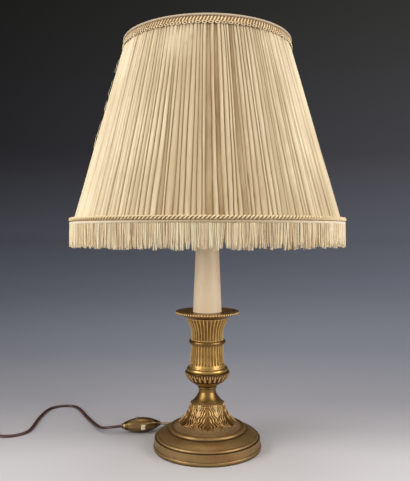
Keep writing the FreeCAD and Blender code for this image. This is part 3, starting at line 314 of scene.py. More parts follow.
def carry(name, line, outline, material):
    """A finished tube: the outline is carried upright along the line."""
    vertices, faces, count = [], [], len(outline)
    for number, place in enumerate(line):
        way = (line[min(number + 1, len(line) - 1)] - line[max(number - 1, 0)]).normalized()
        side = way.cross(UP).normalized()
        up = side.cross(way)
        vertices += [place + side * (x * MM) + up * (y * MM) for x, y in outline]
        if number:
            low = (number - 1) * count
            faces += [(low + i, low + (i + 1) % count, low + count + (i + 1) % count, low + count + i)
                      for i in range(count)]
    faces.append(tuple(reversed(range(count))))
    faces.append(tuple(range(len(vertices) - count, len(vertices))))
    tube = built(name, vertices, faces)
    close_up(tube)
    return finish_piece(tube, name, material, "root", 60)


# %% [markdown]
# The sheath of the brown lead is soft plastic with a low gloss. A little unevenness in its gloss keeps it from
# looking like paint. The clear sheath lets most light through and is slightly cloudy, so that the copper inside
# gives it a warm tone.

# %% Finishes of the lead
def uneven(name, colour, gloss, grain, stretch=(1, 1, 1), **sockets):
    """A finish whose colour, gloss and grain are each a little uneven.

    colour and gloss each hold the scale of a cloud and the stops of its ramp, and grain holds the scale,
    strength and height of a bump. A finish can do without its colour or its grain.
    """
    material, tree, shader = new_finish(name, **sockets)
    place = object_place(tree, stretch)
    sources = {"Roughness": ramp(tree, cloud(tree, place, gloss[0]), *gloss[1:])}
    if colour:
        sources["Base_Color"] = ramp(tree, cloud(tree, place, colour[0]), *colour[1:])
    if grain:
        sources["Normal"] = bump(tree, cloud(tree, place, grain[0]), *grain[1:])
    feed(tree, shader, **sources)
    return material


brown_cord = uneven("brown_cord", (90, (0.3, tint(52, 30, 27)), (0.75, tint(84, 50, 44))),
                    (400, (0.2, 0.26), (0.8, 0.42)), (900, 0.25, 0.0001), Coat_Weight=0.15)
clear_cord = uneven("clear_cord", (120, (0.3, tint(232, 214, 188)), (0.8, tint(246, 238, 222))),
                    (500, (0.2, 0.16), (0.8, 0.3)), (700, 0.2, 0.0001), IOR=1.45, Transmission_Weight=0.75)
copper_strand = uneven("copper_strand", (300, (0.3, tint(196, 128, 92)), (0.8, tint(232, 176, 132))),
                       (900, (0.2, 0.3), (0.8, 0.45)), None, Metallic=1.0)


# %% [markdown]
# The route points are the ones of the solids. The switch stands a little above the table, so the lead leaves it
# in the air for a moment and sinks to the table on its own weight.

# %% Lay the clear lead
CORE_SHIFT = 1.1
CORE_RADIUS = 0.62
SHEATH_RADIUS = 1.4
sheath = twin_section(CORE_SHIFT, SHEATH_RADIUS)
clear_route = [(11.504, 65.243, 8), (14.05, 79.67, 5.2), (7.5, 94, 2.0), (-8.5, 99, 1.5), (-31, 83, 1.9),
               (-45.63, 59.08, 7.8), (-61.227, 55.521, 9.4)]
clear_line = smooth_line("clear_route", clear_route)
clear_lead = carry("clear_lead", clear_line, sheath, clear_cord)
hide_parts("lead_clear")
cores = [carry("copper_core_%d" % number, clear_line, round_section(CORE_RADIUS, 8, shift), copper_strand) for number, shift in ((1, -CORE_SHIFT), (2, CORE_SHIFT))]
print("clear lead", round(line_length(clear_line) * 1000), "mm")


# %% [markdown]
# The brown lead is one line as well: the bend on the table, the coil's turns and the short tail to the plug.
# The coil winds inwards on the table, climbs one layer and winds out again on top, so both ends are outside.

# %% Lay the brown lead
brown_route = [(-110.073, 44.379, 9.4), (-117.53, 42.68, 9.1), (-127.4, 44.5, 7.4), (-137.4, 51, 4.6),
               (-149, 72, 2.2), (-166, 104, 1.5), (-189, 152, 1.5), (-203.2, 159.4, 1.5), (-219, 156.7, 1.5),
               (-229.6, 144, 1.5), (-232, 117, 1.5), (-231.5, 88, 1.5), (-229.5, 64, 1.5), (-230.5, 46, 1.5),
               (-239.5, 34, 1.5), (-253.6, 28.9, 1.5), (-268.2, 32.3, 1.5), (-275.94, 46.06, 1.5)]
COIL_X, COIL_Y = -316, 31
COIL_RADIUS = 38.9
COIL_PITCH = 5.5
COIL_TURNS = 6.3
COIL_START = 44
POINTS_PER_TURN = 14
LOW_LAYER, HIGH_LAYER = 1.5, 4.5


def coil_place(turns):
    """Place on the coil after some turns, in millimetres."""
    middle = COIL_TURNS / 2
    radius = COIL_RADIUS - COIL_PITCH * (middle - abs(turns - middle))
    climb = min(max((turns - middle) / 0.5 + 0.5, 0), 1)
    height = LOW_LAYER + (HIGH_LAYER - LOW_LAYER) * climb * climb * (3 - 2 * climb)
    angle = math.radians(COIL_START + 360 * turns)
    return COIL_X + radius * math.cos(angle), COIL_Y + radius * math.sin(angle), height


coil_steps = round(COIL_TURNS * POINTS_PER_TURN)
brown_route += [coil_place(COIL_TURNS * step / coil_steps) for step in range(coil_steps + 1)]
brown_route += [(-359.64, 32.69, 5.2), (-366.5, 17, 6.6), (-367, 2.35, 6.85)]
brown_line = smooth_line("brown_route", brown_route)
brown_lead = carry("brown_lead", brown_line, sheath, brown_cord)
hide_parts("lead_brown", "lead_coil", "lead_tail")
print("brown lead", round(line_length(brown_line) * 1000), "mm")


# %% [markdown]
# A thin strap holds the coil. By hand it is a block laid over the turns, rounded along its long edges, opened
# at both ends and then given the thickness of a strap.

# %% Strap the coil
def start(add_primitive, **settings):
    """A new primitive, which a piece starts from."""
    deselect()
    add_primitive(**settings)
    return bpy.context.object


def clear_picks(piece, mode="FACE"):
    """Leave nothing picked inside a piece, and say whether faces, edges or points are picked next."""
    take(piece)
    bpy.ops.object.mode_set(mode="EDIT")
    bpy.ops.mesh.select_mode(type=mode)
    bpy.ops.mesh.select_all(action="DESELECT")
    bpy.ops.object.mode_set(mode="OBJECT")


def pick_edges(piece, axis, least):
    """Open a piece in edit mode with only those edges picked that run further than least along an axis."""
    clear_picks(piece, "EDGE")
    for line in piece.data.edges:
        first, second = [piece.data.vertices[index].co for index in line.vertices]
        line.select = abs(first[axis] - second[axis]) > least
    bpy.ops.object.mode_set(mode="EDIT")


STRAP_IN, STRAP_OUT = 19.4, 43.2
STRAP_WIDTH, STRAP_HEIGHT = 5, 6.4
STRAP_MIDDLE = 3.21
STRAP_ANGLE = math.radians(255)
strap = start(bpy.ops.mesh.primitive_cube_add, size=1)
strap.scale = ((STRAP_OUT - STRAP_IN) * MM, STRAP_WIDTH * MM, STRAP_HEIGHT * MM)
bpy.ops.object.transform_apply(location=False, rotation=False, scale=True)
clear_picks(strap)
for face in strap.data.polygons:
    face.select = abs(face.normal.y) > 0.9
bpy.ops.object.mode_set(mode="EDIT")
bpy.ops.mesh.delete(type="ONLY_FACE")
pick_edges(strap, 1, 0.001)
bpy.ops.mesh.bevel(offset=0.0022, segments=4, affect="EDGES")
bpy.ops.object.mode_set(mode="OBJECT")
wall = strap.modifiers.new("wall", "SOLIDIFY")
wall.thickness = 0.0005
wall.offset = -1
strap_reach = (STRAP_IN + STRAP_OUT) / 2
strap.location = ((COIL_X + strap_reach * math.cos(STRAP_ANGLE)) * MM,
                  (COIL_Y + strap_reach * math.sin(STRAP_ANGLE)) * MM, STRAP_MIDDLE * MM)
strap.rotation_euler = (0, 0, STRAP_ANGLE)
finish_piece(strap, "coil_strap", brown_cord, "root")
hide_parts("coil_tie")


# %% [markdown]
# ## Bronze
# The candlestick was cast, chased and gilded, and then toned with a brown lacquer. Rubbing took the brown off
# whatever stands proud, and left it in every hollow. So the finish asks two questions at each point: is it in
# a hollow, and is it on an edge? Ambient occlusion answers both. Looking outwards it darkens in hollows, and
# looking inwards, into the metal, it darkens at edges. Noise then makes the patina blotchy, with a red cast
# here and there, as the lacquer has.

# %% A finish for bronze
EDGE_SIZE = 0.0016


def make_bronze(name, bright, middle, dark, gloss, hollow_size=0.004, blotch=45.0, metal=0.85, carved=False,
                open_from=(0.5, 0.95), stain_from=0.45):
    """Toned bronze: dark in hollows, bright on edges, blotchy between. Sizes in metres.

    A carved piece stores how high each point of its relief stands, and is toned by that instead.
    """
    material, tree, shader = new_finish(name, Metallic=metal)
    place = object_place(tree)
    patina = cloud(tree, place, blotch, 4, 0.6)
    fine = cloud(tree, place, blotch * 9, 3, 0.6)
    speckle = times(tree, plus(tree, fine, -0.5), 0.3)
    if carved:
        height = plus(tree, stored(tree, "height"), speckle)
        open_share = ramp(tree, height, (0.18, 0.0), (0.58, 1.0))
        edge = ramp(tree, height, (0.55, 0.0), (0.92, 1.0))
    else:
        hollow = add(tree, "AmbientOcclusion", {"Distance": hollow_size}, samples=8).outputs["AO"]
        inside = add(tree, "AmbientOcclusion", {"Distance": EDGE_SIZE}, samples=8, inside=True).outputs["AO"]
        open_share = ramp(tree, plus(tree, hollow, times(tree, speckle, 0.6)),
                          (open_from[0], 0.0), (open_from[1], 1.0))
        edge = ramp(tree, inside, (0.45, 1.0), (0.8, 0.0))
    base = mix(tree, ramp(tree, patina, (stain_from, 0.0), (stain_from + 0.3, 0.8)), middle, tint(134, 90, 50))
    base = mix(tree, ramp(tree, patina, (0.3, 0.5), (0.48, 0.0)), base, dark)
    base = mix(tree, open_share, dark, base)
    base = mix(tree, times(tree, edge, 0.8), base, bright)
    rough = ramp(tree, plus(tree, times(tree, fine, 0.5), times(tree, open_share, -0.25)),
                 (0.0, gloss), (0.5, gloss + 0.28))
    feed(tree, shader, Base_Color=base, Roughness=rough, Normal=bump(tree, fine, 0.12, 0.0003))
    return material


cast_bronze = make_bronze("cast_bronze", tint(172, 142, 92), tint(154, 124, 78), tint(82, 62, 38), 0.42, metal=0.72)
dark_bronze = make_bronze("dark_bronze", tint(240, 206, 126), tint(198, 162, 94), tint(86, 58, 26), 0.32)
pan_bronze = make_bronze("pan_bronze", tint(214, 176, 112), tint(146, 110, 68), tint(84, 54, 32), 0.34)
gilt_bronze = make_bronze("gilt_bronze", tint(252, 218, 138), tint(236, 190, 110), tint(84, 48, 12), 0.3, 0.0022,
                          blotch=70.0, open_from=(0.8, 0.99), stain_from=0.42)
polished_brass = make_bronze("polished_brass", tint(196, 162, 92), tint(138, 108, 57), tint(66, 45, 18), 0.34)
carved_bronze = make_bronze("carved_bronze", tint(252, 216, 150), tint(166, 124, 68), tint(66, 40, 12), 0.36,
                            blotch=90.0, metal=0.8, carved=True)
reed_bronze = make_bronze("reed_bronze", tint(136, 108, 70), tint(100, 77, 49), tint(54, 38, 20), 0.46, 0.0016,
                          metal=0.6, open_from=(0.62, 0.98))
switch_brass = make_bronze("switch_brass", tint(166, 138, 90), tint(80, 64, 42), tint(48, 37, 24), 0.3)
finish_nodes(cast_bronze, "foot")
finish_nodes(dark_bronze, "urn")
finish_nodes(pan_bronze, "drip_pan")
finish_nodes(gilt_bronze, "lower_socket", "upper_socket")
finish_nodes(polished_brass, "neck", "socket_ring")
finish_nodes(switch_brass, "switch_shell_upper", "switch_shell_lower", "switch_bush_left", "switch_bush_right")


# %% [markdown]
# ## Copies of one piece
# Beads, leaves and reeds repeat round the lamp. Each is modelled once, in millimetres at the origin, and then
# copied to its places. A copy may be bent as it is laid, so a place is a function that moves one point of the
# master. A little tone is stored with each copy, so that the finish can make no two quite alike, and the height
# of the master's relief goes with it, so that the finish can darken its grooves.

# %% Stamp copies
def store(piece, name, values):
    """Store a value at each point of a piece, which its finish can read."""
    piece.data.attributes.new(name, "FLOAT", "POINT").data.foreach_set("value", values)


def stamped(master, places, name, tones=None, painted_shade_by_point=None):
    """One mesh that holds a copy of the master at each place. Each copy stores its tone, with painted shade for
    each point of the master added if given. Removes the master.
    """
    points = [vertex.co.copy() for vertex in master.data.vertices]
    loops = [tuple(face.vertices) for face in master.data.polygons]
    reliefs = master.data.attributes.get("height")
    reliefs = [point.value for point in reliefs.data] if reliefs else [0.6] * len(points)
    vertices, faces, values = [], [], []
    for number, place in enumerate(places):
        first = len(vertices)
        vertices += [place(point) * MM for point in points]
        faces += [[first + index for index in loop] for loop in loops]
        tone = tones[number] if tones else 0.5
        values += [tone + more for more in (painted_shade_by_point or [0] * len(points))]
    made = built(name, vertices, faces)
    store(made, "tone", values)
    store(made, "height", reliefs * len(places))
    bpy.data.objects.remove(master)
    return made


def around(angle):
    """Unit directions at an angle round the lamp's axis: outwards and along the ring."""
    return Vector((math.cos(angle), math.sin(angle), 0)), Vector((-math.sin(angle), math.cos(angle), 0))


def ring_of(count, place_at, shift=0.0):
    """Evenly spaced places round the lamp, one for each angle. A shift of a half lays them between."""
    return [place_at(math.tau * (number + shift) / count) for number in range(count)]


# %% [markdown]
# The rim of the drip pan is a row of beads. A bead is a ball of few faces, because it is small, and smooth shading
# makes it look round.

# %% Beads on the rim of the drip pan
BEADS = 72
BEAD_RADIUS = 1.5
RIM_RADIUS = 37.2
RIM_HEIGHT = 162.4
bead = start(bpy.ops.mesh.primitive_uv_sphere_add, segments=12, ring_count=8, radius=BEAD_RADIUS)
# The stored height here is no relief: it paints each bead bright on its outer half and dark on its inner half,
# painted highlight and painted shade over the rubbed gilding.
store(bead, "height", [-0.1 + 0.8 * vertex.co.x for vertex in bead.data.vertices])


def bead_place(angle):
    """Lays a bead on the rim."""
    out, along = around(angle)
    return lambda p: out * (RIM_RADIUS + p.x) + along * p.y + UP * (RIM_HEIGHT + p.z)


beads = stamped(bead, ring_of(BEADS, bead_place), "pan_beads")
finish_piece(beads, "pan_beads", carved_bronze, "root", 80)


# %% [markdown]
# ## Acanthus leaves on the foot
# Six leaves hang on the dome of the foot, tips down. A leaf has a flat middle with a few fine veins, and long
# narrow lobes on both sides that slant down and outwards and end in raised tips, which catch the light. It is
# modelled flat, as a fine grid: its outline is drawn in and its relief is raised, lobe by lobe. Laying it on the
# dome bends it round the profile. The relief is shallow, so the dome keeps its own line.

# %% Model the leaf
LOBES = 3.9
SLANT = 4.0
SINK = 0.4


def relief(across, along):
    """Height of a leaf from 0 to 1. across runs from -1 to 1 between its edges, along from root to tip."""
    side = abs(across)
    lobe = (0.5 + 0.5 * math.cos(math.tau * (along * LOBES - side * SLANT))) ** 0.8
    beside = min(max((side - 0.12) / 0.16, 0), 1)
    lines = 0.5 + 0.5 * math.cos(math.tau * side / 0.09)
    tip = math.exp(-((side - 0.86) / 0.12) ** 2)
    high = beside * (0.1 + 0.72 * lobe) + (1 - beside) * (0.3 + 0.2 * lines) + 0.35 * tip * lobe
    return high * (1 - 0.3 * along ** 2)


def half_width(along, wide, root, tip):
    """Half width of a leaf along its length, with a wavy edge where the lobes end."""
    body = root + (wide - root) * math.sin(math.pi / 2 * min(along / 0.75, 1))
    body = body if along < 0.8 else body * (1 - ((along - 0.8) / 0.2) ** 2 * 0.75)
    return max(body * (1 + 0.07 * math.cos(math.tau * (along * LOBES - SLANT))), tip)


def leaf_sheet(columns, rows, width_at, relief_at, lift, sides=8, root=0.05, tip=0.03, fade=0.0):
    """A leaf as a fine sheet: x is its width in degrees round the lamp, y from root to tip, z its relief.

    Its edge sinks a little into what it lies on: sides says how sharply at its sides, and root and tip say over
    which share of its length at its ends. Its stored height fades towards the tip.
    """
    leaf = start(bpy.ops.mesh.primitive_grid_add, x_subdivisions=columns, y_subdivisions=rows, size=2)
    heights = []
    for vertex in leaf.data.vertices:
        across, along = vertex.co.x, (vertex.co.y + 1) / 2
        edge = (1 - abs(across) ** sides) * min(along / root, 1) * min((1 - along) / tip, 1)
        high = relief_at(across, along) * edge
        heights.append(high * (1 - fade * along))
        vertex.co = (across * width_at(along), along, lift * high - SINK * (1 - edge))
    store(leaf, "height", heights)
    return leaf


# %% [markdown]
# The profile of the foot is a chain of arcs, the same as in its drawing. The tool below gives the place at any
# distance down that chain and the way that points out of the metal there, and a leaf follows both.

# %% Follow the profile of the foot
def arc_profile(start, end, radius, hollow):
    """Places on an arc between two points of a profile. hollow puts the arc's middle towards the axis."""
    start, end = Vector(start), Vector(end)
    chord = end - start
    middle = (start + end) / 2
    out = Vector((-chord.y, chord.x)).normalized()
    if out.x > 0:
        out = -out
    centre = middle + out * math.sqrt(radius ** 2 - (chord.length / 2) ** 2) * (-1 if hollow else 1)
    first = math.atan2(start.y - centre.y, start.x - centre.x)
    last = math.atan2(end.y - centre.y, end.x - centre.x)
    turn = (last - first + math.pi) % math.tau - math.pi

    def at(share):
        angle = first + turn * share
        return centre + radius * Vector((math.cos(angle), math.sin(angle)))
    return at, radius * abs(turn)


dome_arc, dome_length = arc_profile((20, 52), (34, 30.6), 33, True)
saucer_arc, saucer_length = arc_profile((34, 30.6), (41.8, 25.2), 14, True)
lip_arc, lip_length = arc_profile((17.2, 55.5), (20, 52), 4.5, False)
print("dome profile", round(dome_length, 1), "mm, saucer", round(saucer_length, 1), "mm")


def on_foot(distance):
    """Radius, height and outward way at a distance down the dome and saucer of the foot, or up its lip."""
    def at(d):
        if d < 0:
            return lip_arc(1 + d / lip_length)
        if d <= dome_length:
            return dome_arc(d / dome_length)
        return saucer_arc(min((d - dome_length) / saucer_length, 1))
    here, step = at(distance), at(distance + 0.2) - at(distance - 0.2)
    out = Vector((-step.y, step.x)).normalized()
    return here, out if out.y > 0 else -out


def bent_on(profile, angle, first, last, scale=1.0):
    """Bends a flat leaf round the lamp, from one place on a profile to another."""
    def place(point):
        here, out = profile(first + (last - first) * point.y)
        ring, _ = around(angle + math.radians(point.x * scale))
        lift = point.z * scale
        return ring * (here.x + out.x * lift) + UP * (here.y + out.y * lift)
    return place


# %% Lay the leaves on the dome
LEAVES = 6
leaf = leaf_sheet(64, 90, lambda along: half_width(along, 29, 26, 4), relief, 1.3)
leaves = stamped(leaf, ring_of(LEAVES, lambda angle: bent_on(on_foot, angle, -2.8, dome_length + 1.5), 0.5),
                 "dome_leaves")
finish_piece(leaves, "dome_leaves", carved_bronze, "root", 60)

under = leaf_sheet(16, 44, lambda along: half_width(along, 6.5, 4.5, 0.8), relief, 1.1)
under_leaves = stamped(under, ring_of(LEAVES, lambda angle: bent_on(on_foot, angle, dome_length * 0.45,
                                                                    dome_length + 2.8)), "dome_under_leaves")
finish_piece(under_leaves, "dome_under_leaves", carved_bronze, "root", 60)


# %% [markdown]
# Below the leaves, fine reeds run down to the bead ring, close together like the teeth of a comb. One reed is a
# thin round bar, half sunk in the metal, that gets a little wider as it goes down, because the ring is wider there.

# %% Reeds below the leaves
REEDS = 96


def cut_along(piece, axis, least, cuts):
    """Cut the long edges of a piece into lengths, so that it can bend."""
    pick_edges(piece, axis, least)
    bpy.ops.mesh.subdivide(number_cuts=cuts)
    bpy.ops.object.mode_set(mode="OBJECT")


def bar(sides, cuts, ends):
    """A straight bar along z, from 0 to 1, cut into lengths so that it can bend."""
    made = start(bpy.ops.mesh.primitive_cylinder_add, vertices=sides, radius=1, depth=1, end_fill_type=ends,
                 location=(0, 0, 0.5))
    bpy.ops.object.transform_apply(location=True, rotation=False, scale=False)
    cut_along(made, 2, 0.5, cuts)
    return made


def reed_place(angle):
    """Lays a reed down the saucer."""
    ring, along = around(angle)

    def place(point):
        here, out = on_foot(dome_length - 2.5 + (saucer_length + 1.2) * point.z)
        half = math.pi * here.x / REEDS * 0.94
        rounded = math.sin(math.pi * min(max(point.z, 0.02), 0.98)) ** 0.3
        lift = point.y * 0.4 * rounded
        return ring * (here.x + out.x * lift) + along * (point.x * half * rounded) + UP * (here.y + out.y * lift)
    return place


reeds = stamped(bar(8, 5, "NGON"), ring_of(REEDS, reed_place, 0.5), "dome_reeds")
finish_piece(reeds, "dome_reeds", reed_bronze, "root", 80)


# %% [markdown]
# The bowl of the urn has a band of small water leaves, points up, with a pip between each two. Here too, a leaf
# is a grid with its relief, laid on the bowl's arc. A thin dark ground lies under them.

# %% Water leaves on the urn
URN_LEAVES = 26
GROUND_LIFT = 0.12
urn_arc, _ = arc_profile((10.6, 73.8), (26.6, 91.0), 24, False)


def water_relief(across, along):
    """A pointed leaf, full in the middle, with a fine rib and a groove round it."""
    side = abs(across)
    groove = 0.35 * math.exp(-((side - 0.62) / 0.12) ** 2)
    return 0.85 - 0.3 * side ** 2 + 0.25 * math.exp(-(side / 0.16) ** 2) - groove


def on_urn(share):
    """Radius, height and outward way at a share of the way up the bowl."""
    here = urn_arc(share)
    step = urn_arc(share + 0.01) - here
    return here, Vector((step.y, -step.x)).normalized()


water_leaf = leaf_sheet(14, 20, lambda along: 6.3 * (1 - along ** 2.6) ** 0.7 + 0.3, water_relief, 0.8, 6, 0.08,
                        0.05, 0.25)
places = ring_of(URN_LEAVES, lambda angle: bent_on(on_urn, angle, 0.56, 0.98))
places += ring_of(URN_LEAVES, lambda angle: bent_on(on_urn, angle, 0.8, 1.0, 0.45), 0.5)
ground = start(bpy.ops.mesh.primitive_grid_add, x_subdivisions=6, y_subdivisions=8, size=2)
for vertex in ground.data.vertices:
    vertex.co = (vertex.co.x * 180 / URN_LEAVES, (vertex.co.y + 1) / 2, GROUND_LIFT)
store(ground, "height", [GROUND_LIFT] * len(ground.data.vertices))
urn_ground = stamped(ground, ring_of(URN_LEAVES, lambda angle: bent_on(on_urn, angle, 0.5, 1.0)), "urn_ground")
finish_piece(urn_ground, "urn_ground", carved_bronze, "root", 60)
urn_leaves = stamped(water_leaf, places, "urn_leaves")
finish_piece(urn_leaves, "urn_leaves", carved_bronze, "root", 60)


# %% [markdown]
# ## The candle tube and what is inside
# The tube is moulded in an ivory tone to look like wax. Wax lets light in a little way, so the finish has a
# touch of subsurface scattering, and its colour is uneven from age. The lampholder, the wires of the shade and
# the bulb are only seen from below, but they get the finish that such parts have.

# %% Tube, lampholder and bulb
ivory_tube = uneven("ivory_tube", (60, (0.3, tint(250, 215, 175)), (0.75, tint(255, 231, 198))),
                    (300, (0.2, 0.34), (0.8, 0.5)), (420, 0.15, 0.0004), (1, 1, 0.35), Subsurface_Weight=0.2,
                    Subsurface_Scale=0.004, Coat_Weight=0.1)
bulb_glass = uneven("bulb_glass", None, (120, (0.3, 0.02), (0.8, 0.06)), (40, 0.05, 0.0004), IOR=1.5,
                    Transmission_Weight=1.0)
stem_glass = uneven("stem_glass", (200, (0.3, tint(224, 232, 228)), (0.8, tint(244, 248, 246))),
                    (300, (0.3, 0.08), (0.8, 0.2)), None, IOR=1.52, Transmission_Weight=0.9)


def make_plastic(name, colour, darker, gloss):
    """Moulded plastic: a faint unevenness in colour and gloss, and a fine grain."""
    return uneven(name, (80, (0.3, darker), (0.7, colour)), (500, (0.2, gloss), (0.8, gloss + 0.12)),
                  (1500, 0.15, 0.0001))


def make_metal(name, colour, darker, gloss):
    """Plain plated metal with faint stains."""
    return uneven(name, (150, (0.3, darker), (0.7, colour)), (600, (0.2, gloss), (0.8, gloss + 0.15)),
                  (1200, 0.1, 0.0001), Metallic=1.0)


finish_nodes(ivory_tube, "candle_sleeve")
finish_nodes(bulb_glass, "bulb_glass")
finish_nodes(stem_glass, "bulb_stem")
finish_nodes(clear_cord, "inner_lead")
for make, name, colour, darker, gloss, parts in (
        (make_plastic, "black_plastic", (44, 42, 40), (28, 27, 26), 0.35,
         "cable_bush holder_cap holder_body shade_clamp_ring switch_insert"),
        (make_plastic, "ivory_plastic", (238, 226, 196), (222, 206, 170), 0.3, "switch_button"),
        (make_plastic, "brown_plastic", (84, 54, 44), (60, 38, 32), 0.32, "plug_body plug_relief"),
        (make_plastic, "porcelain", (238, 236, 230), (226, 223, 214), 0.15, "holder_insert bulb_contact"),
        (make_plastic, "white_wire", (232, 228, 216), (210, 204, 190), 0.4,
         "shade_top_ring shade_bottom_ring shade_struts shade_fitter_ring shade_fitter_arms"),
        (make_metal, "zinc_steel", (196, 194, 188), (160, 157, 150), 0.3,
         "threaded_rod rod_washer rod_nut_lower rod_nut_upper switch_screw"),
        (make_metal, "nickel_brass", (210, 204, 190), (180, 172, 156), 0.22, "screw_shell bulb_cap plug_pins"),
        (make_metal, "contact_brass", (214, 178, 104), (176, 140, 76), 0.25, "centre_contact"),
        (make_metal, "filament", (120, 116, 112), (86, 84, 82), 0.45, "bulb_filament")):
    finish_nodes(make(name, tint(*colour), tint(*darker), gloss), *parts.split())


# %% [markdown]
# ## The shade
# The shade is a wire frame, lined inside and covered outside with fine cotton, gathered into narrow pleats that
# run from rim to rim. By hand each pleat comes out a little different: some are wide, some half hidden, and
# their edges wander. The whole look of the shade rests on that, so the pleats are real folds in the mesh. The
# fold's depth is stored at each point, and the finish darkens the cloth towards the valleys: painted shade in
# the valleys, and dust and age that have turned them brown.

# %% Cloth finishes
WEAVE = 900.0


def make_cloth(name, light, shade, deep):
    """Cotton: light on the crests of the folds, and darker below as painted shade with dust; a stored tone adds age
    and painted shade; fine crinkles along the folds and a weave.
    """
    material, tree, shader = new_finish(name, Sheen_Weight=0.2, Sheen_Roughness=0.5, Roughness=0.85,
                                        Specular_IOR_Level=0.25)
    fold, tone = stored(tree, "fold"), stored(tree, "tone")
    age = cloud(tree, object_place(tree, (1, 1, 0.4)), 26, 3, 0.6)
    thread = add(tree, "UVMap").outputs["UV"]
    drawn_out = add(tree, "Mapping", {"Vector": thread, "Scale": (1, 0.03, 1)}).outputs["Vector"]
    crinkle = cloud(tree, drawn_out, 900, 3, 0.65)
    # Painted shade with dust: the cloth is darker towards the valleys of the folds. The stored fold also carries
    # painted light and shade on the pleats' sides, sunk pleats and wrinkles.
    fold_shade_and_dust = plus(tree, fold, times(tree, plus(tree, crinkle, -0.5), 0.7))
    colour = mix(tree, ramp(tree, fold_shade_and_dust, (0.0, 0.0), (0.62, 1.0)), deep, light)
    # The stored tone mixes in the shade colour: the cloth's age, and painted shade at the front and back and in two
    # patches.
    age_and_painted_shade = ramp(tree, plus(tree, age, times(tree, tone, 0.35)), (0.5, 0.0), (0.95, 0.75))
    across, along = [add(tree, "TexWave", {"Vector": thread, "Scale": WEAVE, "Distortion": 0.4},
                         bands_direction=way).outputs["Fac"] for way in "XY"]
    feed(tree, shader, Base_Color=mix(tree, age_and_painted_shade, colour, shade),
         Normal=bump(tree, plus(tree, across, along), 0.3, 0.00012, bump(tree, crinkle, 0.6, 0.0006)))
    return material


def make_thread(name, light, deep, streak=900.0, open_from=(0.3, 0.9)):
    """Cotton or rayon thread: each strand has its own tone, and fine fibres run through it. It is painted darker
    where threads lie close together, as painted shade between them.
    """
    material, tree, shader = new_finish(name, Sheen_Weight=0.3, Sheen_Roughness=0.4, Roughness=0.7,
                                        Specular_IOR_Level=0.35)
    fibre = cloud(tree, object_place(tree), streak, 2, 0.6)
    hollow = add(tree, "AmbientOcclusion", {"Distance": 0.002}, samples=8).outputs["AO"]
    dyed = plus(tree, times(tree, stored(tree, "tone"), 0.8), times(tree, fibre, 0.3))
    colour = mix(tree, ramp(tree, dyed, (0.15, 0.0), (0.85, 1.0)), light, deep)
    # Painted shade: darker where ambient occlusion finds other threads close by.
    colour = mix(tree, ramp(tree, hollow, (open_from[0], 0.9), (open_from[1], 0.0)), colour, deep)
    feed(tree, shader, Base_Color=colour, Normal=bump(tree, fibre, 0.3, 0.0003))
    return material


# On the cover, the shade colour stands for age and painted shade, and the deep colour for painted shade with dust
# in the valleys.
pleated_cloth = make_cloth("pleated_cloth", tint(246, 227, 189), tint(200, 176, 134), tint(132, 94, 42))
lining_cloth = make_cloth("lining_cloth", tint(240, 228, 200), tint(228, 212, 178), tint(214, 196, 158))
cream_braid = make_thread("cream_braid", tint(248, 224, 178), tint(144, 104, 54), open_from=(0.15, 0.7))
pale_piping = make_thread("pale_piping", tint(250, 232, 202), tint(160, 128, 88))
cream_fringe = make_thread("cream_fringe", tint(255, 241, 204), tint(220, 176, 118), 500.0, (0.0, 0.2))


# %% [markdown]
# A pleat is drawn as a wave: it rises to a round crest and falls to a narrow valley. The width, depth, lean and
# tone of every pleat come from a seeded random list, and soft noise lets its edges drift a little on the way up.
# Some pleats sink half behind their neighbours, and are painted darker as painted shade. In one place under the
# top trim the cloth has been pulled flat and wrinkled, with painted light and shade on its wrinkles, and low on
# the front it is rumpled. The rows of points run up the cone of the frame, so all pleats get finer towards the
# top, as the gathered cloth does. Towards the two sides of the shade the folds are painted paler, as painted
# light, and at its front and back darker, as painted shade. Two patches, low on the right and a little high on
# the left, are painted darker as painted shade.

# %% Pleat the cover
COVER_LOW, COVER_HIGH = 270.4, 484.0
COVER_FOOT, COVER_TOP = 159.3, 98.8
PLEATS = 186
PLEAT_COLUMNS = 9
PLEAT_ROWS = 36
PLEAT_DEPTH = 3.0
THREAD_STEP, THREAD_RISE = 0.0009, 0.006


def cloth_radius(height):
    """Radius of the crests of the cloth at a height."""
    share = (height - COVER_LOW) / (COVER_HIGH - COVER_LOW)
    return COVER_FOOT + (COVER_TOP - COVER_FOOT) * share


def pleat_wave(share, crest_at):
    """Height of a pleat across its width, from 0 in a valley to 1 on its crest."""
    near = share / crest_at if share < crest_at else (1 - share) / (1 - crest_at)
    return math.sin(math.pi / 2 * near) ** 0.6


def patch(angle, height, middle, level, wide, tall):
    """A soft patch of the cloth: 1 at its middle angle in degrees and its level, 0 well away from them."""
    aside = (angle - math.radians(middle) + math.pi) % math.tau - math.pi
    return math.exp(-(aside / wide) ** 2 - ((height - level) / tall) ** 2)


def pulled_flat(angle, height):
    """How much the cloth is pulled flat and wrinkled at a place, high on the front."""
    return patch(angle, height, -106, 456, 0.2, 19)


def rumpled(angle, height):
    """How much the pleats are rumpled at a place, low on the front."""
    return patch(angle, height, -77, 302, 0.17, 26)


def painted_shade_patches(angle, height):
    """How much darker the cloth is painted at a place, as painted shade: most low on the right, and a little high
    on the left.
    """
    return 0.9 * patch(angle, height, -40, 290, 0.5, 45) + 0.5 * patch(angle, height, -124, 425, 0.35, 42)


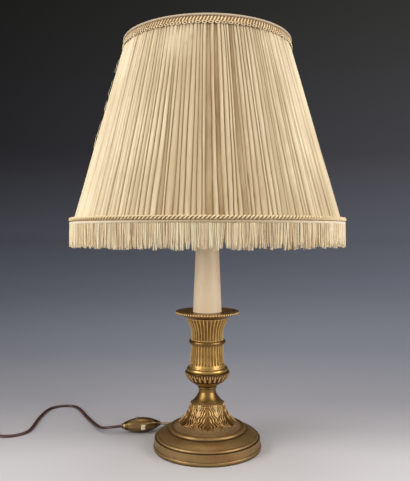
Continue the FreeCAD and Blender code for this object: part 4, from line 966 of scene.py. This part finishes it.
chance = random.Random(41)
widths = [1 + chance.uniform(-0.4, 0.4) for _ in range(PLEATS)]
total = sum(widths)
edges = [math.tau * sum(widths[:n]) / total for n in range(PLEATS + 1)]
depths = [chance.choice((0.5, 0.75, 0.9, 1.0, 1.0)) * chance.uniform(0.85, 1.0) for _ in range(PLEATS)]
crests = [chance.uniform(0.28, 0.72) for _ in range(PLEATS)]
sinks = [chance.uniform(0.4, 1.0) if chance.random() < 0.28 else chance.uniform(0, 0.2) for _ in range(PLEATS)]
tones = [chance.random() for _ in range(PLEATS)]


def pleat_edge(number, height):
    """Angle of the valley before a pleat, which drifts as it goes up."""
    drift = noise.noise(Vector((number * 0.83, height * 0.006, 3.1))) * 0.5
    drift += noise.noise(Vector((number * 1.7, height * 0.03, 9.3))) * 0.1
    return edges[number % PLEATS] + (math.tau / PLEATS) * drift * min(1, (COVER_HIGH - height) / 20)


points, folds, tones_with_painted_shade = [], [], []
columns = PLEATS * PLEAT_COLUMNS
for row in range(PLEAT_ROWS + 1):
    height = COVER_LOW + (COVER_HIGH - COVER_LOW) * row / PLEAT_ROWS
    crest = cloth_radius(height)
    scale = 0.5 + 0.5 * crest / COVER_FOOT
    for number in range(PLEATS):
        valley, next_valley = pleat_edge(number, height), pleat_edge(number + 1, height)
        next_valley += math.tau if number == PLEATS - 1 else 0
        change = 0.85 + 0.3 * noise.noise(Vector((number * 2.3, height * 0.012, 5.0)))
        for step in range(PLEAT_COLUMNS):
            angle = valley + (next_valley - valley) * step / PLEAT_COLUMNS
            flat = pulled_flat(angle, height)
            wave = pleat_wave(step / PLEAT_COLUMNS, crests[number])
            full = wave * min(depths[number] * change, 1) * (1 - 0.7 * flat) + 0.6 * flat
            pucker = noise.noise(Vector((angle * 15 - height * 0.13, height * 0.05 + angle * 4, 1.0))) * flat
            sink = sinks[number] * wave * (1 - flat)
            full -= 0.9 * rumpled(angle, height) * max(noise.noise(Vector((angle * 34, height * 0.16, 7.0))), 0)
            radius = crest - PLEAT_DEPTH * scale * (1 - full) - 0.9 * scale * sink - 1.1 * abs(pucker)
            points.append(Vector((radius * math.cos(angle), radius * math.sin(angle), height)) * MM)
            # Painted light and shade: the fold value is paler towards the sides of the shade and darker at its
            # front and back, in sunk pleats and in the wrinkles; the tone adds painted shade at the front and back
            # and in two patches.
            painted_light_and_shade = 0.38 * abs(math.cos(angle)) - 0.24 * abs(math.sin(angle)) ** 8
            folds.append(max(min(full - 0.3 * sink + 0.5 * pucker + painted_light_and_shade, 1), 0))
            tones_with_painted_shade.append(0.45 * tones[number] + 0.7 * abs(math.sin(angle)) ** 4 + painted_shade_patches(angle, height))
faces = []
for row in range(PLEAT_ROWS):
    low, high = row * columns, (row + 1) * columns
    faces += [(low + i, low + (i + 1) % columns, high + (i + 1) % columns, high + i) for i in range(columns)]
cover = built("pleated_cover", points, faces)
store(cover, "fold", folds)
store(cover, "tone", tones_with_painted_shade)
threads = cover.data.uv_layers.new(name="threads")
for face in cover.data.polygons:
    row, column = divmod(face.index, columns)
    for loop, right, upper in zip(face.loop_indices, (0, 1, 1, 0), (0, 0, 1, 1)):
        threads.data[loop].uv = ((column + right) * THREAD_STEP, (row + upper) * THREAD_RISE)
finish_piece(cover, "pleated_cover", pleated_cloth, "shade", 75)
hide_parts("shade_cover")


# %% [markdown]
# The lining is the same cone without pleats, stretched smooth over the wires. It starts as the side of a cone
# primitive, is cut into rows, and its ends stay open. Along the struts it is drawn in a little, most of all
# half way up.

# %% Line the shade
LINING_FOOT, LINING_TOP = 155.1, 95.2
STRUTS = 8
DRAWN_IN = 0.004
cone_height = (COVER_HIGH - COVER_LOW) * MM
lining = start(bpy.ops.mesh.primitive_cone_add, vertices=128, radius1=LINING_FOOT * MM, radius2=LINING_TOP * MM,
               depth=cone_height, end_fill_type="NOTHING", location=(0, 0, (COVER_HIGH + COVER_LOW) / 2 * MM))
cut_along(lining, 2, 0.1, 14)
for vertex in lining.data.vertices:
    at_strut = 0.5 - 0.5 * math.cos(STRUTS * math.atan2(vertex.co.y, vertex.co.x))
    pull = 1 - DRAWN_IN * at_strut * math.sin(math.pi * (vertex.co.z / cone_height + 0.5))
    vertex.co.x *= pull
    vertex.co.y *= pull
store(lining, "fold", [0.8] * len(lining.data.vertices))
finish_piece(lining, "shade_liner", lining_cloth, "shade", 60)
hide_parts("shade_lining")


# %% [markdown]
# ## Rings spun from a section
# Bindings, cords and bands round the shade are rings. A ring is drawn as its section, at the right distance from
# the axis, and spun once round it. Spin leaves a doubled seam and may turn the ring inside out, so the seam is
# merged and the normals are made consistent.

# %% Spin a ring
SECTION_SIDES = 12
PIPING_RADIUS, PIPING_HEIGHT = 161.4, 269.1


def spun_ring(section, steps, level, front=0.0):
    """A ring whose section is a closed outline of (radius, height) in millimetres.

    It stores one tone, its level, with more of it towards the front and the back, where it paints shade.
    """
    ring = start(bpy.ops.mesh.primitive_circle_add, vertices=len(section), radius=1)
    for vertex, (radius, height) in zip(ring.data.vertices, section):
        vertex.co = (radius * MM, 0, height * MM)
    bpy.ops.object.mode_set(mode="EDIT")
    bpy.ops.mesh.select_all(action="SELECT")
    bpy.ops.mesh.spin(steps=steps, angle=math.tau, center=(0, 0, 0), axis=(0, 0, 1))
    close_up(ring, 0.00001)
    store(ring, "tone", [level + front * abs(vertex.co.normalized().y) ** 3 for vertex in ring.data.vertices])
    return ring


def rounded_section(radius, height, wide, tall, square):
    """A section round a middle at (radius, height): an ellipse where square is 2, and squarer above."""
    section = []
    for side in range(SECTION_SIDES):
        angle = math.tau * side / SECTION_SIDES
        c, s = math.cos(angle), math.sin(angle)
        reach = (abs(c) ** square + abs(s) ** square) ** (-1 / square)
        section.append((radius + wide / 2 * reach * c, height + tall / 2 * reach * s))
    return section


binding = spun_ring(rounded_section(97.55, 485.55, 6.7, 2.9, 2.6), 180, 0.5)
finish_piece(binding, "top_binding", pale_piping, "shade", 80)
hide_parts("shade_top_binding")

# The piping is painted darker towards the front and back: painted shade.
piping = spun_ring(rounded_section(PIPING_RADIUS, PIPING_HEIGHT, 2.8, 2.8, 2.0), 240, 0.0, 5.0)
finish_piece(piping, "hem_piping", pale_piping, "shade", 80)
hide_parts("shade_bottom_piping")


# %% [markdown]
# The trim under the top edge is a gimp: a narrow braid whose strands lie side by side at a slant, with a row of
# flat loops below. Its ground is a flat band painted dark, a painted shadow, so that the gaps between the strands
# read as shadow. Each strand is painted darker at its two edges, as painted shade. One master strand is copied
# round it, and a master loop is copied below.

# %% Braid at the top edge
GIMP_LOW, GIMP_HIGH = 476.0, 484.0
BAND_LOW = GIMP_LOW + 1.0
BAND_THICK = 0.5
STRANDS = 172
STRAND_LOW, STRAND_HIGH = GIMP_LOW + 2.2, GIMP_HIGH + 0.4
STRAND_WIDE, STRAND_THICK = 1.05, 0.6
STRAND_LEAN = 0.028
LOOPS = 92
LOOP_STRETCH = 1.9


def gimp_radius(height):
    """Radius of the ground of the gimp at a height."""
    return cloth_radius(height) - 0.2


low_radius, high_radius = gimp_radius(BAND_LOW), gimp_radius(GIMP_HIGH)
# The band's level of 0.9 paints it dark: a painted shadow behind the strands.
band = spun_ring([(low_radius, BAND_LOW), (low_radius + BAND_THICK, BAND_LOW),
                  (high_radius + BAND_THICK, GIMP_HIGH), (high_radius, GIMP_HIGH)], 180, 0.9)
finish_piece(band, "top_gimp_band", cream_braid, "shade", 50)


def strand_place(angle):
    """A strand of the braid: leans along the ring from its lower to its upper end."""
    def place(point):
        height = STRAND_LOW + (STRAND_HIGH - STRAND_LOW) * (point.z + 1) / 2
        ring, _ = around(angle + STRAND_LEAN * point.z / 2 + point.x * STRAND_WIDE / gimp_radius(height))
        return ring * (gimp_radius(height) + 0.55 + point.y * STRAND_THICK) + UP * height
    return place


def loop_place(angle):
    """A small flat loop lying on the ground below the strands."""
    ring, along = around(angle)
    return lambda p: (ring * (gimp_radius(GIMP_LOW) + 0.4 + p.z) + along * p.x * LOOP_STRETCH
                      + UP * (GIMP_LOW + 1.1 + p.y))


chance = random.Random(7)
strand = start(bpy.ops.mesh.primitive_uv_sphere_add, segments=12, ring_count=8, radius=1)
# Each strand is painted darker towards its two edges: painted shade where it meets its neighbours.
painted_edge_shade = [0.75 * abs(vertex.co.x) ** 2 for vertex in strand.data.vertices]
strands = stamped(strand, ring_of(STRANDS, strand_place), "top_gimp_strands",
                  [chance.uniform(-0.1, 0.2) for _ in range(STRANDS)], painted_edge_shade)
finish_piece(strands, "top_gimp_strands", cream_braid, "shade", 80)

loop = start(bpy.ops.mesh.primitive_torus_add, major_radius=1.15, minor_radius=0.45, major_segments=12,
             minor_segments=6)
loops = stamped(loop, ring_of(LOOPS, loop_place, 0.5), "top_gimp_loops",
                [chance.uniform(0.0, 0.3) for _ in range(LOOPS)])
finish_piece(loops, "top_gimp_loops", cream_braid, "shade", 80)
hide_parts("shade_top_gimp")


# %% [markdown]
# The hem has a rope of two strands laid round each other. One turn of it is modelled straight: two bars side by
# side, cut into rings and twisted through a full turn. Its copies are then laid end to end round the hem, and
# the ends are merged, so the rope is one unbroken twist.

# %% Lay the rope on the hem
ROPE_TURNS = 122
ROPE_RADIUS = 161.1
ROPE_HEIGHT = 273.2
ROPE_RINGS = 12
STRAND_OFFSET, STRAND_RADIUS = 1.2, 1.15
bars = [start(bpy.ops.mesh.primitive_cylinder_add, vertices=12, radius=STRAND_RADIUS, depth=1,
              end_fill_type="NOTHING", location=(0.5, y, 0), rotation=(0, math.pi / 2, 0))
        for y in (STRAND_OFFSET, -STRAND_OFFSET)]
take(bars[0])
bars[1].select_set(True)
bpy.ops.object.join()
one_turn = bars[0]
bpy.ops.object.transform_apply(location=True, rotation=True, scale=True)
cut_along(one_turn, 0, 0.5, ROPE_RINGS - 1)
# Points where the two strands meet get more tone, painted darker as painted shade in the groove between them.
groove = []
for vertex in one_turn.data.vertices:
    turn = -math.tau * vertex.co.x
    y, z = vertex.co.y, vertex.co.z
    groove.append(0.8 * math.exp(-(y / 0.7) ** 2))
    vertex.co.y = y * math.cos(turn) - z * math.sin(turn)
    vertex.co.z = y * math.sin(turn) + z * math.cos(turn)


def rope_place(number):
    """Lays one turn of the rope on its stretch of the hem."""
    def place(point):
        ring, _ = around(-math.tau * (number + point.x) / ROPE_TURNS)
        return ring * (ROPE_RADIUS + point.y) + UP * (ROPE_HEIGHT + point.z)
    return place


rope = stamped(one_turn, [rope_place(n) for n in range(ROPE_TURNS)], "hem_rope", [0.12] * ROPE_TURNS, groove)
close_up(rope, 0.00002)
finish_piece(rope, "hem_rope", cream_braid, "shade", 80)
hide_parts("shade_bottom_gimp")


# %% [markdown]
# ## The fringe
# The fringe is a row of loose threads sewn under the piping, so close that they hide what is behind. Handling has
# drawn some of them into tufts, with gaps that widen downwards, and their ends are ragged. One thread is
# modelled straight, as a thin three-sided bar in five lengths. It is copied some three thousand times, and each
# copy leans, curls and ends in its own way.

# %% Hang the fringe
TUFTS = 190
THREADS_PER_TUFT = 16
THREAD_LENGTHS = 5
FRINGE_TOP, FRINGE_LENGTH, FRINGE_RADIUS = 268.4, 27.0, 161.3
thread = start(bpy.ops.mesh.primitive_circle_add, vertices=3, radius=1)
clear_picks(thread, "VERT")
bpy.ops.object.mode_set(mode="EDIT")
bpy.ops.mesh.select_all(action="SELECT")
for step in range(THREAD_LENGTHS):
    bpy.ops.mesh.extrude_region_move(TRANSFORM_OT_translate={"value": (0, 0, -1)})
bpy.ops.object.mode_set(mode="OBJECT")
for vertex in thread.data.vertices:
    vertex.co.z /= THREAD_LENGTHS


def thread_place(angle, tuft_angle, gather, layer, share, chance):
    """One thread: hangs from the piping, drawn towards the middle of its tuft, with a curl of its own."""
    length = FRINGE_LENGTH * share * (1 - 0.1 * chance.random() ** 2)
    curl, phase = chance.uniform(-0.6, 0.6), chance.uniform(0, 6.28)
    lean = chance.uniform(-0.9, 0.9) * (3 if chance.random() < 0.03 else 1)
    out_lean = chance.uniform(-0.7, 0.5)
    thick = chance.uniform(0.34, 0.5)
    spin = chance.uniform(0, 6.28)

    def place(point):
        down = -point.z
        ring, along = around(angle + (tuft_angle - angle) * gather * down ** 1.3)
        side = lean * down ** 2 + curl * math.sin(phase + 5 * down) * down
        out = out_lean * down ** 2 + 0.5 * curl * math.cos(phase + 4 * down) * down
        width = thick * (1 if down < 0.99 else 0.6)
        x = point.x * math.cos(spin) - point.y * math.sin(spin)
        y = point.x * math.sin(spin) + point.y * math.cos(spin)
        return (ring * (FRINGE_RADIUS + layer + out + x * width) + along * (side + y * width)
                + UP * (FRINGE_TOP - length * down))
    return place


chance = random.Random(23)
places, tones = [], []
for tuft in range(TUFTS):
    middle = math.tau * (tuft + chance.uniform(-0.25, 0.25)) / TUFTS
    tuft_tone = chance.uniform(0.0, 0.45)
    gather = chance.uniform(0.6, 0.9) if chance.random() < 0.28 else chance.uniform(0.1, 0.4)
    share = 1 - 0.1 * chance.random() ** 2
    for number in range(THREADS_PER_TUFT):
        angle = math.tau * (tuft + (number + 0.5) / THREADS_PER_TUFT - 0.5) / TUFTS
        places.append(thread_place(angle, middle, gather * chance.uniform(0.8, 1.1),
                                   chance.choice((-0.75, 0.0, 0.75)), share, chance))
        tones.append(min(max(tuft_tone + chance.uniform(-0.5, 0.3), 0), 1))
fringe = stamped(thread, places, "hem_fringe", tones)
finish_piece(fringe, "hem_fringe", cream_fringe, "shade", 180)
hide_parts("shade_fringe")


# %% [markdown]
# The cloth has frayed a little down its left side. A few loose fibres stand off it there: copies of one thin
# thread, each with its own length and its own curl.

# %% Loose fibres on the cloth
FIBRES = 16
FIBRE_RADIUS = 0.16


def fibre_place(angle, height, chance):
    """One loose fibre: rises or falls from its root on the cloth in a curl."""
    length = chance.uniform(9, 24) * chance.choice((-1, 1))
    stand, curl, phase = chance.uniform(0.8, 2.2), chance.uniform(0.3, 1.0), chance.uniform(0, 6.28)
    ring, along = around(angle)

    def place(point):
        up = height + length * point.z
        off = stand * math.sin(math.pi * point.z) ** 0.7 + curl * math.sin(phase + 7 * point.z) * point.z
        return (ring * (cloth_radius(up) + off + point.x * FIBRE_RADIUS)
                + along * (curl * math.sin(phase + 5 * point.z) + point.y * FIBRE_RADIUS) + UP * up)
    return place


chance = random.Random(5)
fibre_places = [fibre_place(math.radians(180 + chance.uniform(-16, 22)), chance.uniform(352, 470), chance)
                for _ in range(FIBRES)]
fibres = stamped(bar(3, 7, "NOTHING"), fibre_places, "loose_fibres", [0.0] * FIBRES)
finish_piece(fibres, "loose_fibres", cream_fringe, "shade", 80)


# %% [markdown]
# ## Floor and light
# The lamp stands on a pale sheet, painted so that it falls off into a darker grey behind it, which makes the cream
# shade stand out. The floor is one very large disc. Its colour depends only on the place on it: painted palest
# where the lamp stands and a little darker to the left, it is a painted pool of light and its fall-off. The world
# carries the same grey on above the floor's edge, for what the camera sees directly or in the metal, painted
# darker upwards and to the left as painted fall-off of light, and gives an even soft light to everything else.
# In front it is lighter, as the room before a backdrop is. Two large soft lamps stand in front, left and right.
# They leave the two bright streaks on the polished neck, with a dark one between them. A third hangs above, a
# little behind.

# %% Lay the floor
FALL_OFF = 14.0


def painted_falloff(tree, colour, gain, least, most):
    """A colour made lighter or darker by a gain, which is kept within its limits; here it paints a fall-off of
    light.
    """
    gain = add(tree, "Clamp", {"Value": gain, "Min": least, "Max": most}).outputs["Result"]
    return mix(tree, 1.0, colour, gain, "MULTIPLY")


studio_floor, tree, shader = new_finish("studio_floor", Roughness=0.6, Specular_IOR_Level=0.15)
place = add(tree, "TexCoord").outputs["Object"]
painted_light_pool = add(tree, "Mapping", {"Vector": place, "Location": (0, 0.11, 0), "Scale": (0.33, 1, 1)}).outputs["Vector"]
distance = add(tree, "VectorMath", {0: painted_light_pool}, operation="LENGTH").outputs["Value"]
share = reckon(tree, "SQRT", reckon(tree, "DIVIDE", distance, FALL_OFF))
# Painted pool of light: the grey is palest near the lamp and darker further away.
grey = ramp(tree, share, (0.0, tint(212, 208, 207)), (0.085, tint(195, 191, 191)), (0.112, tint(168, 164, 166)),
            (0.15, tint(145, 143, 148)), (0.22, tint(126, 128, 136)), (0.42, tint(131, 136, 150)),
            (0.65, tint(124, 129, 143)), (1.0, tint(117, 121, 134)))
# Painted fall-off of light: a gain makes the floor lighter to the right and darker to the left.
sides = add(tree, "SeparateXYZ", {"Vector": place}).outputs["X"]
aside = reckon(tree, "DIVIDE", sides, plus(tree, distance, 0.6))
gain = plus(tree, times(tree, aside, ramp(tree, share, (0.1, 0.12), (0.35, 0.6), (0.8, 0.85))), 1.0)
feed(tree, shader, Base_Color=painted_falloff(tree, grey, gain, 0.6, 1.4))
floor = start(bpy.ops.mesh.primitive_circle_add, vertices=96, radius=4 * FALL_OFF, fill_type="NGON")
floor.name = "studio_floor"
floor.data.materials.append(studio_floor)
floor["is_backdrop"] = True
print("floor", 8 * FALL_OFF, "m across")

# %% Set the world
AMBIENT = (0.44, 0.44, 0.445, 1)
ROOM = (0.5, 0.49, 0.47, 1)
world = bpy.data.worlds.new("studio")
scene.world = world
world.use_nodes = True
tree = world.node_tree
way = add(tree, "SeparateXYZ", {"Vector": add(tree, "TexCoord").outputs["Generated"]})
height = way.outputs["Z"]
# Painted fall-off of light on the backdrop: darker upwards, and by the gain darker to the left and lighter to the
# right.
behind = ramp(tree, height, (0.0, tint(77, 79, 87)), (0.13, tint(54, 53, 57)), (0.36, tint(40, 40, 38)))
gain = plus(tree, times(tree, way.outputs["X"],
                        plus(tree, ramp(tree, height, (0.0, 0.0), (0.14, 0.6)), 0.85)), 1.0)
in_front = ramp(tree, plus(tree, way.outputs["Y"], 0.5), (0.2, 1.0), (0.7, 0.0))
seen = mix(tree, in_front, painted_falloff(tree, behind, gain, 0.5, 1.5), ROOM)
rays = add(tree, "LightPath").outputs
seen_rays = reckon(tree, "MAXIMUM", rays["Is Camera Ray"],
                   reckon(tree, "MAXIMUM", rays["Is Glossy Ray"], rays["Is Transmission Ray"]))
tree.links.new(mix(tree, seen_rays, AMBIENT, seen), tree.nodes["Background"].inputs["Color"])
print("world", world.name)


# %% Set the lamps
def soft_lamp(name, place, aim, wide, tall, power):
    """A soft box: a rectangular area lamp turned towards a point."""
    lamp = start(bpy.ops.object.light_add, type="AREA", location=place)
    lamp.name = name
    lamp.data.shape = "RECTANGLE"
    lamp.data.size, lamp.data.size_y = wide, tall
    lamp.data.energy = power
    lamp.rotation_euler = (Vector(aim) - Vector(place)).to_track_quat("-Z", "Y").to_euler()


soft_lamp("soft_left", (-1.12, -0.7, 0.72), (0, 0, 0.25), 0.85, 1.0, 14.6)
soft_lamp("soft_right", (1.15, -0.66, 0.68), (0, 0, 0.25), 0.85, 1.0, 13.6)
soft_lamp("soft_top", (0, 0.25, 1.5), (0, 0, 0.2), 0.9, 0.9, 8.0)
print("three lamps")

# %% Measure the visual box
low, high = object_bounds()
print("visual box from", [round(v, 3) for v in low], "to", [round(v, 3) for v in high])
